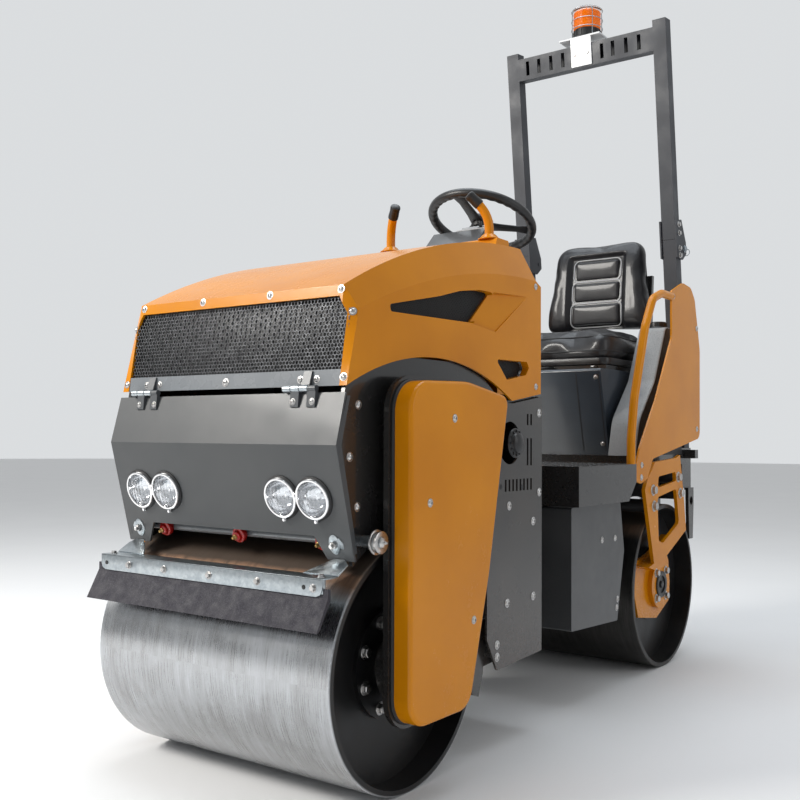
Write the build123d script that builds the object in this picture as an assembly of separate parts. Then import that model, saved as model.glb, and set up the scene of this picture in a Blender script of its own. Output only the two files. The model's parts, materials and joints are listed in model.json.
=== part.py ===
"""Small ride-on tandem road roller, articulated in the middle.

Millimetres. X is across the machine (+X is its left side), Y runs from the front to the rear
and Z is up. While the pieces are made, Y is measured from the front drum's axle; at export
everything moves so that the origin is under the middle of the overall length, on the ground.
The machine rides over its drums: widths come from the drums' half width, heights from the top
of the drums or from their axles, and whatever stands on the rear frame comes from the rear axle.
"""
import math
import os

from build123d import *

# ---------------------------------------------------------------- drums
DRUM_R = 280.0            # outer radius of both drums, and the height of their axles
DRUM_WALL = 14.0          # thickness of the rolled shell
DRUM_HALF = 363.0         # half of the rolling width
WHEELBASE = 1539.0        # front axle to rear axle
DRUM_TOP = 2 * DRUM_R
WEB_FACE = DRUM_HALF - 63.0        # outer face of each end web, from the centre plane
WEB_T = 12.0
WEB_RING_R = 125.0        # bolted flange ring on the web
WEB_RING_T = 10.0
WEB_BOLT_R = 102.0
WEB_BOLTS = 8
BOLT_R = 8.0
AXLE_R = 60.0
AXLE_FIT = 0.05           # running clearance, radial
STUB_REACH = 26.0         # how far an axle stub stands inside the web's outer face
ARCH_GAP = 22.0           # free space between a drum and what arches over it
RUN_GAP = 5.0             # least gap between pieces that move past each other
TOUCH = 0.3               # gap left between soft or curved pieces and their seats
OVERSHOOT = 1.0           # how far a cutter runs past the face that it opens

# ---------------------------------------------------------------- articulation
BULKHEAD_Y = 614.0
BULKHEAD_T = 12.0
STEER_Y = BULKHEAD_Y + 96.0
STEER_PIN_R = 25.0
PIN_FIT = 0.05
EAR_R = 65.0
EAR_T = 25.0
PIVOT_Z = DRUM_R + 120.0  # height of the rocking axis and of the steering cylinder
PIVOT_HALF_H = 70.0       # half of the gap between the two hitch ears
ROCK_R = 40.0
ROCK_HOUSING_R = 75.0
CYL_X = 120.0             # steering cylinder, across from the steering pin
CYL_FOOT_Y = STEER_Y - 280.0
CYL_MOUTH = STEER_Y - 150.0        # where the rod leaves the barrel
CYL_R = 26.0
CYL_BORE = 19.0
ROD_R = 12.0
EYE_R = 20.0
EYE_HALF_T = 14.0
CLEVIS_T = 12.0
CLEVIS_GAP = 2.0
CYL_PIN_R = 10.0

# ---------------------------------------------------------------- hood
HOOD_HALF = DRUM_HALF - 5.0
HOOD_TOP_HALF = HOOD_HALF - 32.0   # half width of the flat roof between the two chamfers
HOOD_WALL = 6.0
HOOD_REAR = BULKHEAD_Y + 15.0
HOOD_FOOT = (-226.0, DRUM_TOP + 337.0)        # front lower corner, y and z
HOOD_BROW = (-198.0, DRUM_TOP + 554.0)        # front upper corner on the roof
HOOD_SHOULDER = (-187.0, DRUM_TOP + 500.0)    # front upper corner of the side walls
HOOD_ARCH = (140.0, DRUM_TOP + 416.0)         # highest point of the lower edge
HOOD_TAIL = (468.0, DRUM_TOP + 327.0)         # lowest point of the lower edge
HOOD_TAIL_Z = DRUM_TOP + 351.0
SIDE_CREST = (209.0, DRUM_TOP + 626.0)
SIDE_REAR = (HOOD_REAR - 29.0, DRUM_TOP + 661.0)
ROOF_CREST = (126.0, DRUM_TOP + 685.0)
ROOF_REAR = (HOOD_REAR - 62.0, DRUM_TOP + 749.0)
HOOD_BACK_Z = DRUM_TOP + 649.0
HOOD_ROOM = 260.0         # how far the room inside runs below the lower edge
REAR_DOOR = (40.0, 60.0, 47.0, 29.0)          # frame left round the open back: sides, depth, foot, top
GRILLE_HALF = HOOD_HALF - 20.0
GRILLE_FOOT_Z = HOOD_FOOT[1] + 35.0
GRILLE_TOP_Z = HOOD_BROW[1] - 24.0
GRILLE_CORNER = (22.0, 38.0)       # bevel of the opening's upper corners, across and down
GRILLE_T = 2.5
GRILLE_LAP = 7.0
STRIP_BACK = 2.0          # hinge strip behind the hood's front face
STRIP_T = 4.0
VENT_DEPTH = 20.0         # collars round the side vents
VENT_LAP = 6.0
VENT_MESH_T = 2.5
SCOOP_DEPTH = 15.0
HINGE_X = HOOD_HALF - 108.0
HINGE_AT = (HOOD_FOOT[0] - 10.0, HOOD_FOOT[1] - 5.0)
HINGE_LEN = 70.0
HINGE_R = 7.0
HINGE_PIN_R = 3.95
HINGE_LEAF_T = 3.5
HINGE_PLAY = 0.5

# ---------------------------------------------------------------- front frame
FRAME_T = 10.0
CHEEK_OUT = HOOD_HALF - HOOD_WALL - RUN_GAP
CHEEK_IN = CHEEK_OUT - FRAME_T
FLOOR_Z = DRUM_TOP + 25.0
FLOOR_T = 12.0
FLOOR_FRONT = -195.0
BULKHEAD_FOOT = DRUM_R - 65.0
DECKLINE_Z = DRUM_TOP + 343.0      # top of the frame plates beside the engine
SIDE_GRILLE_T = 6.0
LEG_GAP = 15.0            # drum end to leg plate
LEG_T = 14.0
LEG_BORDER = 12.0         # leg plate stands out round the cover
LEG_HUB_R = 88.0
COVER_DEPTH = 51.0
COVER_WALL = 5.0
COVER_EDGE = 9.0
BUFFER_R = 22.0
LEG_IN = DRUM_HALF + LEG_GAP
LEG_OUT = LEG_IN + LEG_T
COVER_OUT = LEG_OUT + COVER_DEPTH
PANEL_T = 5.0
PANEL_HALF = HOOD_HALF + 1.0
PANEL_TOP = (-231.0, HOOD_FOOT[1] - 14.0)
PANEL_FOLD = (-260.0, DRUM_TOP + 213.0)
PANEL_FOOT = (-195.0, DRUM_TOP - 31.0)
SPRAY_SLOT = (100.0, 56.0, 49.0)   # slot in the panel's foot: top and foot from the hood's side, height
LAMP_X = (83.0 - PANEL_HALF, 174.0 - PANEL_HALF, PANEL_HALF - 174.0, PANEL_HALF - 83.0)
LAMP_Z = DRUM_TOP + 99.0
LAMP_R = 42.0
LAMP_BEZEL_R = 46.0
LAMP_OUT = 8.0
LAMP_DEPTH = 34.0
LAMP_RIM = 4.0
LAMP_LENS = (2.0, 7.0)    # back and front of the lens, out from the panel
ENGINE = (170.0, 120.0, 500.0, FLOOR_Z + 375.0)     # half width, front, rear, top
SPRAY_Y = -152.0
SPRAY_Z = DRUM_TOP + 6.0
SPRAY_PIPE_R = 10.0
NOZZLE_REACH = HOOD_HALF - 106.0
NOZZLES = (-NOZZLE_REACH, 0.0, NOZZLE_REACH)
FRAME_PIN_AT = (-150.0, DRUM_TOP + 8.0)
FRAME_PIN_R = 13.0

# ---------------------------------------------------------------- scrapers and mat
MAT_FRONT = -DRUM_R - 40.0
MAT_T = 8.0
SCRAPER_Z = (DRUM_R + 175.0, DRUM_R + 220.0)
SCRAPER_Y = -DRUM_R + 3.0
SCRAPER_T = 14.0
SCRAPER_ARM_T = 14.0
BLADE_T = 10.0
WIPER_Y = DRUM_R + 26.0
WIPER_Z = DRUM_R - 130.0
WIPER_ARM_X = DRUM_HALF - 27.0
WIPER_ARM_T = 12.0

# ---------------------------------------------------------------- rear frame
WALL_Y = STEER_Y + 110.0
WALL_T = 14.0
WALL_FOOT = DRUM_R - 45.0
DECK_FRONT = STEER_Y + 83.0
DECK_REAR = WHEELBASE - 324.0
DECK_Z = DRUM_TOP + 147.0
DECK_T = 12.0
DECK_HALF = DRUM_HALF + 32.0
SKIRT_T = 6.0
SKIRT_FOOT = DECK_Z - 117.0
SKIRT_BEVEL = 60.0
STEP_TOP = DECK_Z - 121.0
STEP_WALL = 6.0
PLATFORM_Z = DECK_Z + 24.0
PLATFORM_FRONT = WHEELBASE - 239.0
BEAM_REAR = WHEELBASE + DRUM_R + 66.0
BEAM_FRONT = BEAM_REAR - 95.0
BEAM_HALF = DRUM_HALF - 28.0
BEAM_FOOT = DECK_Z - 102.0
BEAM_TOP = DECK_Z + 47.0
RAIL_IN = DRUM_HALF - 123.0
RAIL_T = 12.0
RAIL_FOOT = DECK_Z - 167.0
RAIL_TOP = DECK_Z - 17.0
CROSS_T = 12.0
FORK_IN = DRUM_HALF + 10.0
FORK_T = 12.0
FORK_OUT = FORK_IN + FORK_T
FORK_HUB_R = 82.0
FORK_HUB_T = 16.0
FORK_HUB_BOLTS = 4
FORK_HUB_BOLT_R = 62.0
BEARING_OUT = DRUM_HALF - 29.0
BEARING_T = 12.0
SEAT_HALF = 230.0
SEAT_TANK_GAP = 10.0
PEDESTAL_HALF = SEAT_HALF - 10.0
TANK_IN = SEAT_HALF + SEAT_TANK_GAP
TANK_OUT = DRUM_HALF - 23.0
FENDER_IN = DRUM_HALF + 19.0
FENDER_T = 6.0
RAIL_TUBE_R = 14.0
SEAT_BASE_Z = DECK_Z + 323.0
SEAT_FOOT = SEAT_BASE_Z + 16.0
SEAT_TOP = SEAT_FOOT + 139.0
SEAT_ARM = (60.0, 30.0)   # backrest arms, in from the cushion's side: inner and outer face
BACK_REAR_FOOT = WHEELBASE + 287.0   # rear face of the backrest, at its foot and near its top
BACK_REAR_TOP = WHEELBASE + 306.0
BACK_REAR_Z = (DECK_Z + 493.0, DECK_Z + 713.0)

# ---------------------------------------------------------------- roll-over bar
POST_SIZE = 50.0
POST_WALL = 5.0
POST_OUT = DRUM_HALF - 31.0
POST_IN = POST_OUT - POST_SIZE
POST_LEAN = 6.7           # degrees forward
POST_REF = (BEAM_FRONT - 37.0, DECK_Z + 683.0)       # a point of the front face, y and z
POST_JOINT_Z = DECK_Z + 823.0
POST_TOP_Z = DECK_Z + 1628.0
JOINT_GAP = 0.5           # half of the gap between the posts and the hoop
BRACKET_T = 6.0
BRACKET_GAP = 1.0
FOLD_PIN_R = 8.0
FOLD_LUG_R = 16.0
FOLD_BACK = 24.0          # fold pin behind the rear face of the post
FOLD_DOWN = 34.0          # fold pin under the joint between the posts
BAR_FOOT_Z = POST_TOP_Z - 110.0
BAR_TOP_Z = POST_TOP_Z - 25.0
BAR_SLOT_W = 14.0
BAR_SLOT_SHARES = (-0.855, -0.677, -0.489, -0.305, 0.277, 0.436, 0.624, 0.805)
BEACON_X = -10.0
BEACON_R = 62.0
BEACON_TOP = POST_TOP_Z + 135.0
BEACON_CURVE = 26.0
BEACON_PLATE = (84.5, 140.0, 6.0)    # half width, depth, thickness
BEACON_FOOT_T = 16.0

# ---------------------------------------------------------------- steering wheel and levers
WHEEL_AT = (0.0, HOOD_REAR + 274.0, DRUM_TOP + 925.0)
WHEEL_R = 175.0
WHEEL_TUBE_R = 13.0
WHEEL_LEAN = 22.0
HUB_R = 30.0
SPOKE_R = 9.0
COLUMN_R = 24.0
SHAFT_R = 10.0
CONSOLE_HALF = 215.0
CONSOLE_FRONT = HOOD_REAR + 7.0
CONSOLE_REAR = CONSOLE_FRONT + 64.0
CONSOLE_FOOT = DRUM_TOP + 185.0
CONSOLE_TOP = DRUM_TOP + 805.0
CONSOLE_STAY_X = 150.0
INSTRUMENT_HALF = 95.0
LEVER_X = CONSOLE_HALF - 37.0
LEVER_Y = CONSOLE_FRONT + 14.0
LEVER_R = 14.0
LEVER_CORE_R = 8.0
GRIP_R = 18.0

CENTRE_Y = (MAT_FRONT + BEAM_REAR) / 2.0
X_AXIS = (1, 0, 0)


# ---------------------------------------------------------------- small helpers
def above(*points):
    """Outline (y, z) with its heights counted from the top of the drums."""
    return tuple((y, DRUM_TOP + z) for y, z in points)


def hub_level(y_from, *points):
    """Outline (y, z) counted from a line of Y and from the height of the axles."""
    return tuple((y_from + y, DRUM_R + z) for y, z in points)


def over_deck(*points):
    """Outline (y, z) counted from the rear axle and from the floor of the deck."""
    return tuple((WHEELBASE + y, DECK_Z + z) for y, z in points)


def slab_x(points, x_from, x_to, radii=0.0):
    """Plate of the outline (y, z) between two stations of X; radii round its corners."""
    outline = make_face(FilletPolyline(*points, radius=radii, close=True))
    return extrude(Plane.YZ.offset(x_from) * outline, amount=x_to - x_from, dir=X_AXIS)


def slab_y(points, y_from, y_to, radii=0.0):
    """Plate of the outline (x, z) between two stations of Y."""
    outline = make_face(FilletPolyline(*points, radius=radii, close=True))
    return extrude(Plane((0, y_from, 0), (1, 0, 0), (0, -1, 0)) * outline, amount=y_to - y_from,
                   dir=(0, 1, 0))


def slab_z(points, z_from, z_to, radii=0.0):
    """Plate of the outline (x, y) between two heights."""
    outline = make_face(FilletPolyline(*points, radius=radii, close=True))
    return extrude(Plane.XY.offset(z_from) * outline, amount=z_to - z_from, dir=(0, 0, 1))


def grown(points, rounds, amount, x_from, x_to):
    """Plate of an outline that is set out or in all round by an amount."""
    outline = make_face(FilletPolyline(*points, radius=rounds, close=True))
    outline = offset(outline, amount=amount, kind=Kind.ARC)
    return extrude(Plane.YZ.offset(x_from) * outline, amount=x_to - x_from, dir=X_AXIS)


def block(x_from, x_to, y_from, y_to, z_from, z_to):
    """Box between two corners."""
    centre = ((x_from + x_to) / 2, (y_from + y_to) / 2, (z_from + z_to) / 2)
    return Pos(*centre) * Box(x_to - x_from, y_to - y_from, z_to - z_from)


def side_block(side, x_in, x_out, y_from, y_to, z_from, z_to):
    """Box on one side of the centre plane, between two distances from it."""
    x_from, x_to = sorted((side * x_in, side * x_out))
    return block(x_from, x_to, y_from, y_to, z_from, z_to)


def bar(start, end, radius):
    """Round bar from one point to another."""
    line = Vector(*end) - Vector(*start)
    foot = Plane(origin=start, z_dir=line)
    return foot * Cylinder(radius, line.length, align=(Align.CENTER, Align.CENTER, Align.MIN))


def bar_x(x_from, x_to, y, z, radius):
    return bar((x_from, y, z), (x_to, y, z), radius)


def both_sides(shape):
    """The shape and its mirror image across the centre plane."""
    return shape, mirror(shape, about=Plane.YZ)


def save(name, *shapes):
    solids = [solid for shape in shapes for solid in shape.solids()]
    moved = [Pos(0, -CENTRE_Y, 0) * solid for solid in solids]
    whole = moved[0] if len(moved) == 1 else Compound(children=moved)
    export_step(whole, f"parts/{name}.step")


def drum_arch(axle_y):
    """Cutter that keeps a plate clear of the drum on the given axle."""
    return bar_x(-2 * DRUM_HALF, 2 * DRUM_HALF, axle_y, DRUM_R, DRUM_R + ARCH_GAP)


# ---------------------------------------------------------------- drums
def make_drum(axle_y):
    shell = bar_x(-DRUM_HALF, DRUM_HALF, axle_y, DRUM_R, DRUM_R)
    shell = fillet(shell.edges().filter_by(GeomType.CIRCLE), 3.0)
    shell -= bar_x(-DRUM_HALF - OVERSHOOT, DRUM_HALF + OVERSHOOT, axle_y, DRUM_R, DRUM_R - DRUM_WALL)
    drum = shell
    ring_face = WEB_FACE + WEB_RING_T
    for side in (-1, 1):
        web = bar_x(side * (WEB_FACE - WEB_T), side * WEB_FACE, axle_y, DRUM_R, DRUM_R - DRUM_WALL + OVERSHOOT)
        web += bar_x(side * WEB_FACE, side * ring_face, axle_y, DRUM_R, WEB_RING_R)
        for turn in range(WEB_BOLTS):
            angle = 2 * math.pi * (turn + 0.5) / WEB_BOLTS
            y = axle_y + WEB_BOLT_R * math.cos(angle)
            z = DRUM_R + WEB_BOLT_R * math.sin(angle)
            web += bar_x(side * ring_face, side * (ring_face + BOLT_R), y, z, BOLT_R)
        drum += web
    return drum - bar_x(-DRUM_HALF, DRUM_HALF, axle_y, DRUM_R, AXLE_R)


# ---------------------------------------------------------------- hood
LONG_VENT = above((-77, 523), (122, 564), (210, 587), (303, 601), (373, 602), (273, 514), (-73, 507))
SCOOP = above((371, 603), (549, 612), (382, 502), (271, 512))
SCOOP_COLLAR = above((-77, 523), (122, 564), (210, 587), (303, 601), (373, 602), (549, 612), (382, 502),
                     (273, 512), (-73, 507))
REAR_VENT = above((384, 432), (549, 435), (561, 419), (544, 399), (441, 381))
VENT_ROUND = 6.0


def front_face_y(z):
    """Y of the hood's front face at a height."""
    share = (z - HOOD_FOOT[1]) / (HOOD_BROW[1] - HOOD_FOOT[1])
    return HOOD_FOOT[0] + share * (HOOD_BROW[0] - HOOD_FOOT[0])


def moved(point, y, z):
    return (point[0] + y, point[1] + z)


def hood_form(inset, drop=0.0):
    """The closed outer form of the hood, or with an inset and a drop the room inside it."""
    foot_z = HOOD_FOOT[1] - drop
    rear = HOOD_REAR - inset
    shoulder = moved(HOOD_SHOULDER, inset, -inset)
    brow = moved(HOOD_BROW, inset, -inset)
    shoulder_slope = (HOOD_SHOULDER[0] - HOOD_FOOT[0]) / (HOOD_SHOULDER[1] - HOOD_FOOT[1])
    side_foot = (HOOD_FOOT[0] - drop * shoulder_slope + inset, foot_z)
    roof_foot = (front_face_y(foot_z) + inset, foot_z)
    faces = []
    for foot, front, crest, back in ((side_foot, shoulder, SIDE_CREST, SIDE_REAR),
                                     (roof_foot, brow, ROOF_CREST, ROOF_REAR)):
        tail = moved(HOOD_TAIL, 0, -drop)
        back = moved(back, -inset, -inset)
        faces.append(make_face([
            ThreePointArc(foot, moved(HOOD_ARCH, 0, -drop), tail),
            Line(tail, (rear, HOOD_TAIL_Z - drop)),
            Line((rear, HOOD_TAIL_Z - drop), (rear, HOOD_BACK_Z - inset)),
            Line((rear, HOOD_BACK_Z - inset), back),
            ThreePointArc(back, moved(crest, 0, -inset), front),
            Line(front, foot),
        ]))
    side_face, roof_face = faces
    side_half = HOOD_HALF - inset
    roof_half = HOOD_TOP_HALF - inset / 2
    middle = extrude(Plane.YZ.offset(-roof_half) * roof_face, amount=2 * roof_half, dir=X_AXIS)
    left = loft([Plane.YZ.offset(roof_half) * roof_face, Plane.YZ.offset(side_half) * side_face],
                ruled=True)
    return middle + left + mirror(left, about=Plane.YZ)


def scoop_cutter():
    """Ramp that rises from the long vent's mesh to the hood's side wall."""
    floor_x = HOOD_HALF - SCOOP_DEPTH
    (top_y, top_z), (tip_y, tip_z), _, (low_y, low_z) = SCOOP
    near = Vector(floor_x, top_y, top_z)
    across = Vector(floor_x, low_y, low_z) - near
    along = Vector(HOOD_HALF, tip_y, tip_z) - near
    normal = across.cross(along)
    if normal.X < 0:
        normal = -normal
    pocket = slab_x(SCOOP, floor_x - OVERSHOOT, HOOD_HALF + OVERSHOOT)
    return split(pocket, bisect_by=Plane(origin=near, z_dir=normal), keep=Keep.TOP)


def make_hood(room):
    hood = hood_form(0) - room
    half, corner = GRILLE_HALF, GRILLE_CORNER
    opening = [(half - corner[0], GRILLE_TOP_Z), (half, GRILLE_TOP_Z - corner[1]), (half, HOOD_FOOT[1] - 10)]
    opening += [(-x, z) for x, z in reversed(opening)]
    hood -= slab_y(opening, HOOD_FOOT[0] - 20, HOOD_FOOT[0] / 2)
    sides, depth, foot, top = REAR_DOOR
    hood -= block(sides - HOOD_HALF, HOOD_HALF - sides, HOOD_REAR - depth, HOOD_REAR + OVERSHOOT,
                  HOOD_TAIL_Z - foot, HOOD_BACK_Z - top)
    deep, skin = HOOD_HALF - VENT_DEPTH, HOOD_HALF - HOOD_WALL
    ramp = scoop_cutter()
    meshes = []
    for collar, vent in ((SCOOP_COLLAR, LONG_VENT), (REAR_VENT, REAR_VENT)):
        for piece in both_sides(grown(collar, 0.0, VENT_LAP, deep, skin)):
            hood += piece
        for piece in both_sides(slab_x(vent, deep - OVERSHOOT, HOOD_HALF + OVERSHOOT, VENT_ROUND)):
            hood -= piece
        meshes += both_sides(grown(vent, VENT_ROUND, VENT_LAP / 2, deep - VENT_MESH_T, deep))
    for piece in both_sides(ramp):
        hood -= piece
    return hood, meshes


def make_grille(room):
    """Perforated sheet that lies on the inside of the hood's front, behind the opening."""
    half = GRILLE_HALF + GRILLE_LAP
    window = block(-half, half, HOOD_FOOT[0] - 20, HOOD_FOOT[0] / 2, GRILLE_FOOT_Z - GRILLE_LAP,
                   GRILLE_TOP_Z + GRILLE_LAP)
    return (room - hood_form(HOOD_WALL + GRILLE_T, HOOD_ROOM)) & window


def make_hinge_strip():
    """Plate across the foot of the hood's front that the hinges are bolted to."""
    low, high = HOOD_FOOT[1], GRILLE_FOOT_Z
    back = STRIP_BACK + STRIP_T
    return slab_x(((front_face_y(low) + STRIP_BACK, low), (front_face_y(high) + STRIP_BACK, high),
                   (front_face_y(high) + back, high), (front_face_y(low) + back, low)),
                  -GRILLE_HALF, GRILLE_HALF)


def make_hinges():
    """Two butt hinges: the leaf on the hood's strip, and the leaf with the pin on the lamp panel."""
    hood_leaves, panel_leaves = [], []
    y, z = HINGE_AT
    third = HINGE_LEN / 3
    low, high = HOOD_FOOT[1] + 2, GRILLE_FOOT_Z - 2
    low_y, high_y = front_face_y(low) + STRIP_BACK, front_face_y(high) + STRIP_BACK
    panel_slope = (PANEL_FOLD[0] - PANEL_TOP[0]) / (PANEL_FOLD[1] - PANEL_TOP[1])
    panel_z = PANEL_TOP[1] - 31
    panel_y = PANEL_TOP[0] + panel_slope * (panel_z - PANEL_TOP[1])
    for x in (-HINGE_X, HINGE_X):
        x_from, x_to = x - third / 2 + HINGE_PLAY, x + third / 2 - HINGE_PLAY
        leaf = slab_x(((low_y, low), (high_y, high), (high_y - HINGE_LEAF_T, high), (y + 2, z + 5),
                       (y + 5, z + 2)), x_from, x_to)
        leaf += bar_x(x_from, x_to, y, z, HINGE_R)
        hood_leaves.append(leaf - bar_x(x - third, x + third, y, z, HINGE_PIN_R + PIN_FIT))
        pin = bar_x(x - HINGE_LEN / 2, x + HINGE_LEN / 2, y, z, HINGE_PIN_R)
        for side in (-1, 1):
            x_from, x_to = x + side * third / 2, x + side * HINGE_LEN / 2
            pin += slab_x((PANEL_TOP, (panel_y, panel_z), (panel_y - HINGE_LEAF_T, panel_z + 1),
                           (y - 4, z - 4), (y + 3, z - 4)), x_from, x_to)
            pin += bar_x(x_from, x_to, y, z, HINGE_R)
        panel_leaves.append(pin)
    return hood_leaves, panel_leaves


# ---------------------------------------------------------------- front frame
CHEEK_FRONT = above((-186, -180), (-186, -42), (-249, 213), (-220, 318), (-215, 340), (-150, 370),
                    (-60, 412), (290, 412), (400, 343))
CHEEK_NECK = (360.0, 33.0)         # rear lower edge: y of the neck, and below the deck line
HANGER = (30.0, 60.0, 46.0)        # cylinder's hanger: half width, front and rear before the pin
CYL_WINDOW = (45.0, 70.0, 60.0)    # hole in the bulkhead: inward, outward, half height
GUSSET_T = 12.0


def make_front_frame():
    neck_y, neck_drop = CHEEK_NECK
    cheek = slab_x(CHEEK_FRONT + ((BULKHEAD_Y, DECKLINE_Z), (BULKHEAD_Y, DECKLINE_Z - neck_drop),
                                  (neck_y, DECKLINE_Z - neck_drop), (neck_y, CHEEK_FRONT[0][1])),
                   CHEEK_IN, CHEEK_OUT)
    cheek -= drum_arch(0)
    frame = block(-CHEEK_IN, CHEEK_IN, FLOOR_FRONT, BULKHEAD_Y, FLOOR_Z, FLOOR_Z + FLOOR_T)
    for piece in both_sides(cheek):
        frame += piece
    back = BULKHEAD_Y + BULKHEAD_T
    bulkhead = block(OVERSHOOT - HOOD_HALF, HOOD_HALF - OVERSHOOT, BULKHEAD_Y, back, BULKHEAD_FOOT,
                     DECKLINE_Z)
    inward, outward, half = CYL_WINDOW
    bulkhead -= block(CYL_X - inward, CYL_X + outward, BULKHEAD_Y - OVERSHOOT, back + OVERSHOOT,
                      PIVOT_Z - half, PIVOT_Z + half)
    frame += bulkhead
    for z in (PIVOT_Z + PIVOT_HALF_H, PIVOT_Z - PIVOT_HALF_H - EAR_T):
        ear = block(-EAR_R, EAR_R, back, STEER_Y, z, z + EAR_T)
        ear += bar((0, STEER_Y, z), (0, STEER_Y, z + EAR_T), EAR_R)
        ear -= bar((0, STEER_Y, z - OVERSHOOT), (0, STEER_Y, z + EAR_T + OVERSHOOT), STEER_PIN_R)
        frame += ear
    for x in (GUSSET_T - EAR_R, EAR_R):
        for side, rise in ((1, 110), (-1, 70)):
            foot = PIVOT_Z + side * (PIVOT_HALF_H + EAR_T)
            frame += slab_x(((back, foot), (STEER_Y - 20, foot), (back, foot + side * rise)), x - GUSSET_T, x)
    half, front, rear = HANGER
    hanger = block(CYL_X - half, CYL_X + half, CYL_FOOT_Y - front, CYL_FOOT_Y - rear, PIVOT_Z - 40, FLOOR_Z)
    for side in (-1, 1):
        near = EYE_HALF_T + 0.5
        low, high = sorted((PIVOT_Z + side * near, PIVOT_Z + side * (near + CLEVIS_T)))
        ear = block(CYL_X - EYE_R, CYL_X + EYE_R, CYL_FOOT_Y - rear, CYL_FOOT_Y, low, high)
        ear += bar((CYL_X, CYL_FOOT_Y, low), (CYL_X, CYL_FOOT_Y, high), EYE_R)
        ear -= bar((CYL_X, CYL_FOOT_Y, low - OVERSHOOT), (CYL_X, CYL_FOOT_Y, high + OVERSHOOT), CYL_PIN_R)
        hanger += ear
    return frame + hanger


COVER_OUTLINE = hub_level(0, (-108, -109), (130, -109), (216, 190)) + above((306, 330), (120, 359), (-112, 352))
COVER_ROUNDS = (62.0, 55.0, 300.0, 26.0, 260.0, 70.0)
LEG_BUFFERS = above((53, 271), (-55, 88), (235, 270), (150, 80))


def make_leg():
    leg = grown(COVER_OUTLINE, COVER_ROUNDS, LEG_BORDER, LEG_IN, LEG_OUT)
    leg += bar_x(DRUM_HALF - 28, LEG_IN, 0, DRUM_R, LEG_HUB_R)
    leg += bar_x(WEB_FACE - STUB_REACH, LEG_IN, 0, DRUM_R, AXLE_R - AXLE_FIT)
    return leg


def make_cover():
    cover = grown(COVER_OUTLINE, COVER_ROUNDS, 0, LEG_OUT, COVER_OUT)
    cover = fillet(cover.faces().sort_by(Axis.X)[-1].edges(), COVER_EDGE)
    return cover - grown(COVER_OUTLINE, COVER_ROUNDS, -COVER_WALL, LEG_OUT - OVERSHOOT, COVER_OUT - COVER_WALL)


PLATE_FRONT = DRUM_R + 38.0
SIDE_GRILLE = (hub_level(DRUM_R, (55, 3), (105, -82))
               + ((BULKHEAD_Y + BULKHEAD_T, DRUM_R - 72), (BULKHEAD_Y + BULKHEAD_T, DECKLINE_Z),
                  moved(HOOD_TAIL, 0, -7), (PLATE_FRONT, HOOD_TAIL[1] - 7), (PLATE_FRONT, FLOOR_Z + 15),
                  (DRUM_R + 55, DRUM_R + 190)))
PLATE_STAY = (4.0, 34.0, 35.0, 275.0)         # stay behind the plate: front, rear, foot, top
KNOB_AT = (449.0, DRUM_TOP + 216.0)
KNOB_R = 64.0
KNOB_SEAT_R = KNOB_R - 8.0
SLOT_ROWS = ((DRUM_TOP + 279.0, 30.0), (DRUM_TOP + 192.0, 73.0), (DRUM_TOP + 105.0, 31.0))     # centre, length
SLOT_PITCH = 19.6
SLOT_FIRST = KNOB_AT[0] - 22.0
SLOT_COUNT = 8
SLOT_W = 9.0


def make_side_grille():
    inner = DRUM_HALF - SIDE_GRILLE_T
    cut_in, cut_out = inner - OVERSHOOT, DRUM_HALF + OVERSHOOT
    plate = slab_x(SIDE_GRILLE, inner, DRUM_HALF, 4.0)
    front, rear, foot, top = PLATE_STAY
    plate += block(CHEEK_OUT, inner, PLATE_FRONT + front, PLATE_FRONT + rear, FLOOR_Z + foot, FLOOR_Z + top)
    for z, length in SLOT_ROWS:
        for index in range(SLOT_COUNT):
            y = SLOT_FIRST + index * SLOT_PITCH
            if abs(z - KNOB_AT[1]) < KNOB_R and abs(y - KNOB_AT[0]) < KNOB_R + SLOT_PITCH:
                continue
            plate -= block(cut_in, cut_out, y - SLOT_W / 2, y + SLOT_W / 2, z - length / 2, z + length / 2)
    return plate - bar_x(cut_in, cut_out, *KNOB_AT, KNOB_SEAT_R)


def make_knob():
    """Round cap of the air intake, seated in the slotted plate."""
    cap = bar_x(DRUM_HALF, DRUM_HALF + 14, *KNOB_AT, KNOB_R)
    cap = fillet(cap.edges().filter_by(GeomType.CIRCLE).sort_by(Axis.X)[-1], 6.0)
    cap += bar_x(DRUM_HALF - 40, DRUM_HALF, *KNOB_AT, KNOB_SEAT_R - TOUCH)
    return cap


FACE_LEN = math.hypot(PANEL_FOOT[0] - PANEL_FOLD[0], PANEL_FOOT[1] - PANEL_FOLD[1])
FACE_DIR = ((PANEL_FOOT[0] - PANEL_FOLD[0]) / FACE_LEN, (PANEL_FOOT[1] - PANEL_FOLD[1]) / FACE_LEN)
FACE_OUT = (FACE_DIR[1], -FACE_DIR[0])       # outward normal of the lower face, y and z


def on_panel(x, z, out=0.0):
    """Point of the lamp panel's lower face at a height, moved out along its normal."""
    y = PANEL_FOLD[0] + (z - PANEL_FOLD[1]) / FACE_DIR[1] * FACE_DIR[0]
    return (x, y + out * FACE_OUT[0], z + out * FACE_OUT[1])


def lamp_bar(x, out_from, out_to, radius):
    """Round bar square to the lamp panel, at a lamp's centre."""
    return bar(on_panel(x, LAMP_Z, out_from), on_panel(x, LAMP_Z, out_to), radius)


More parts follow.
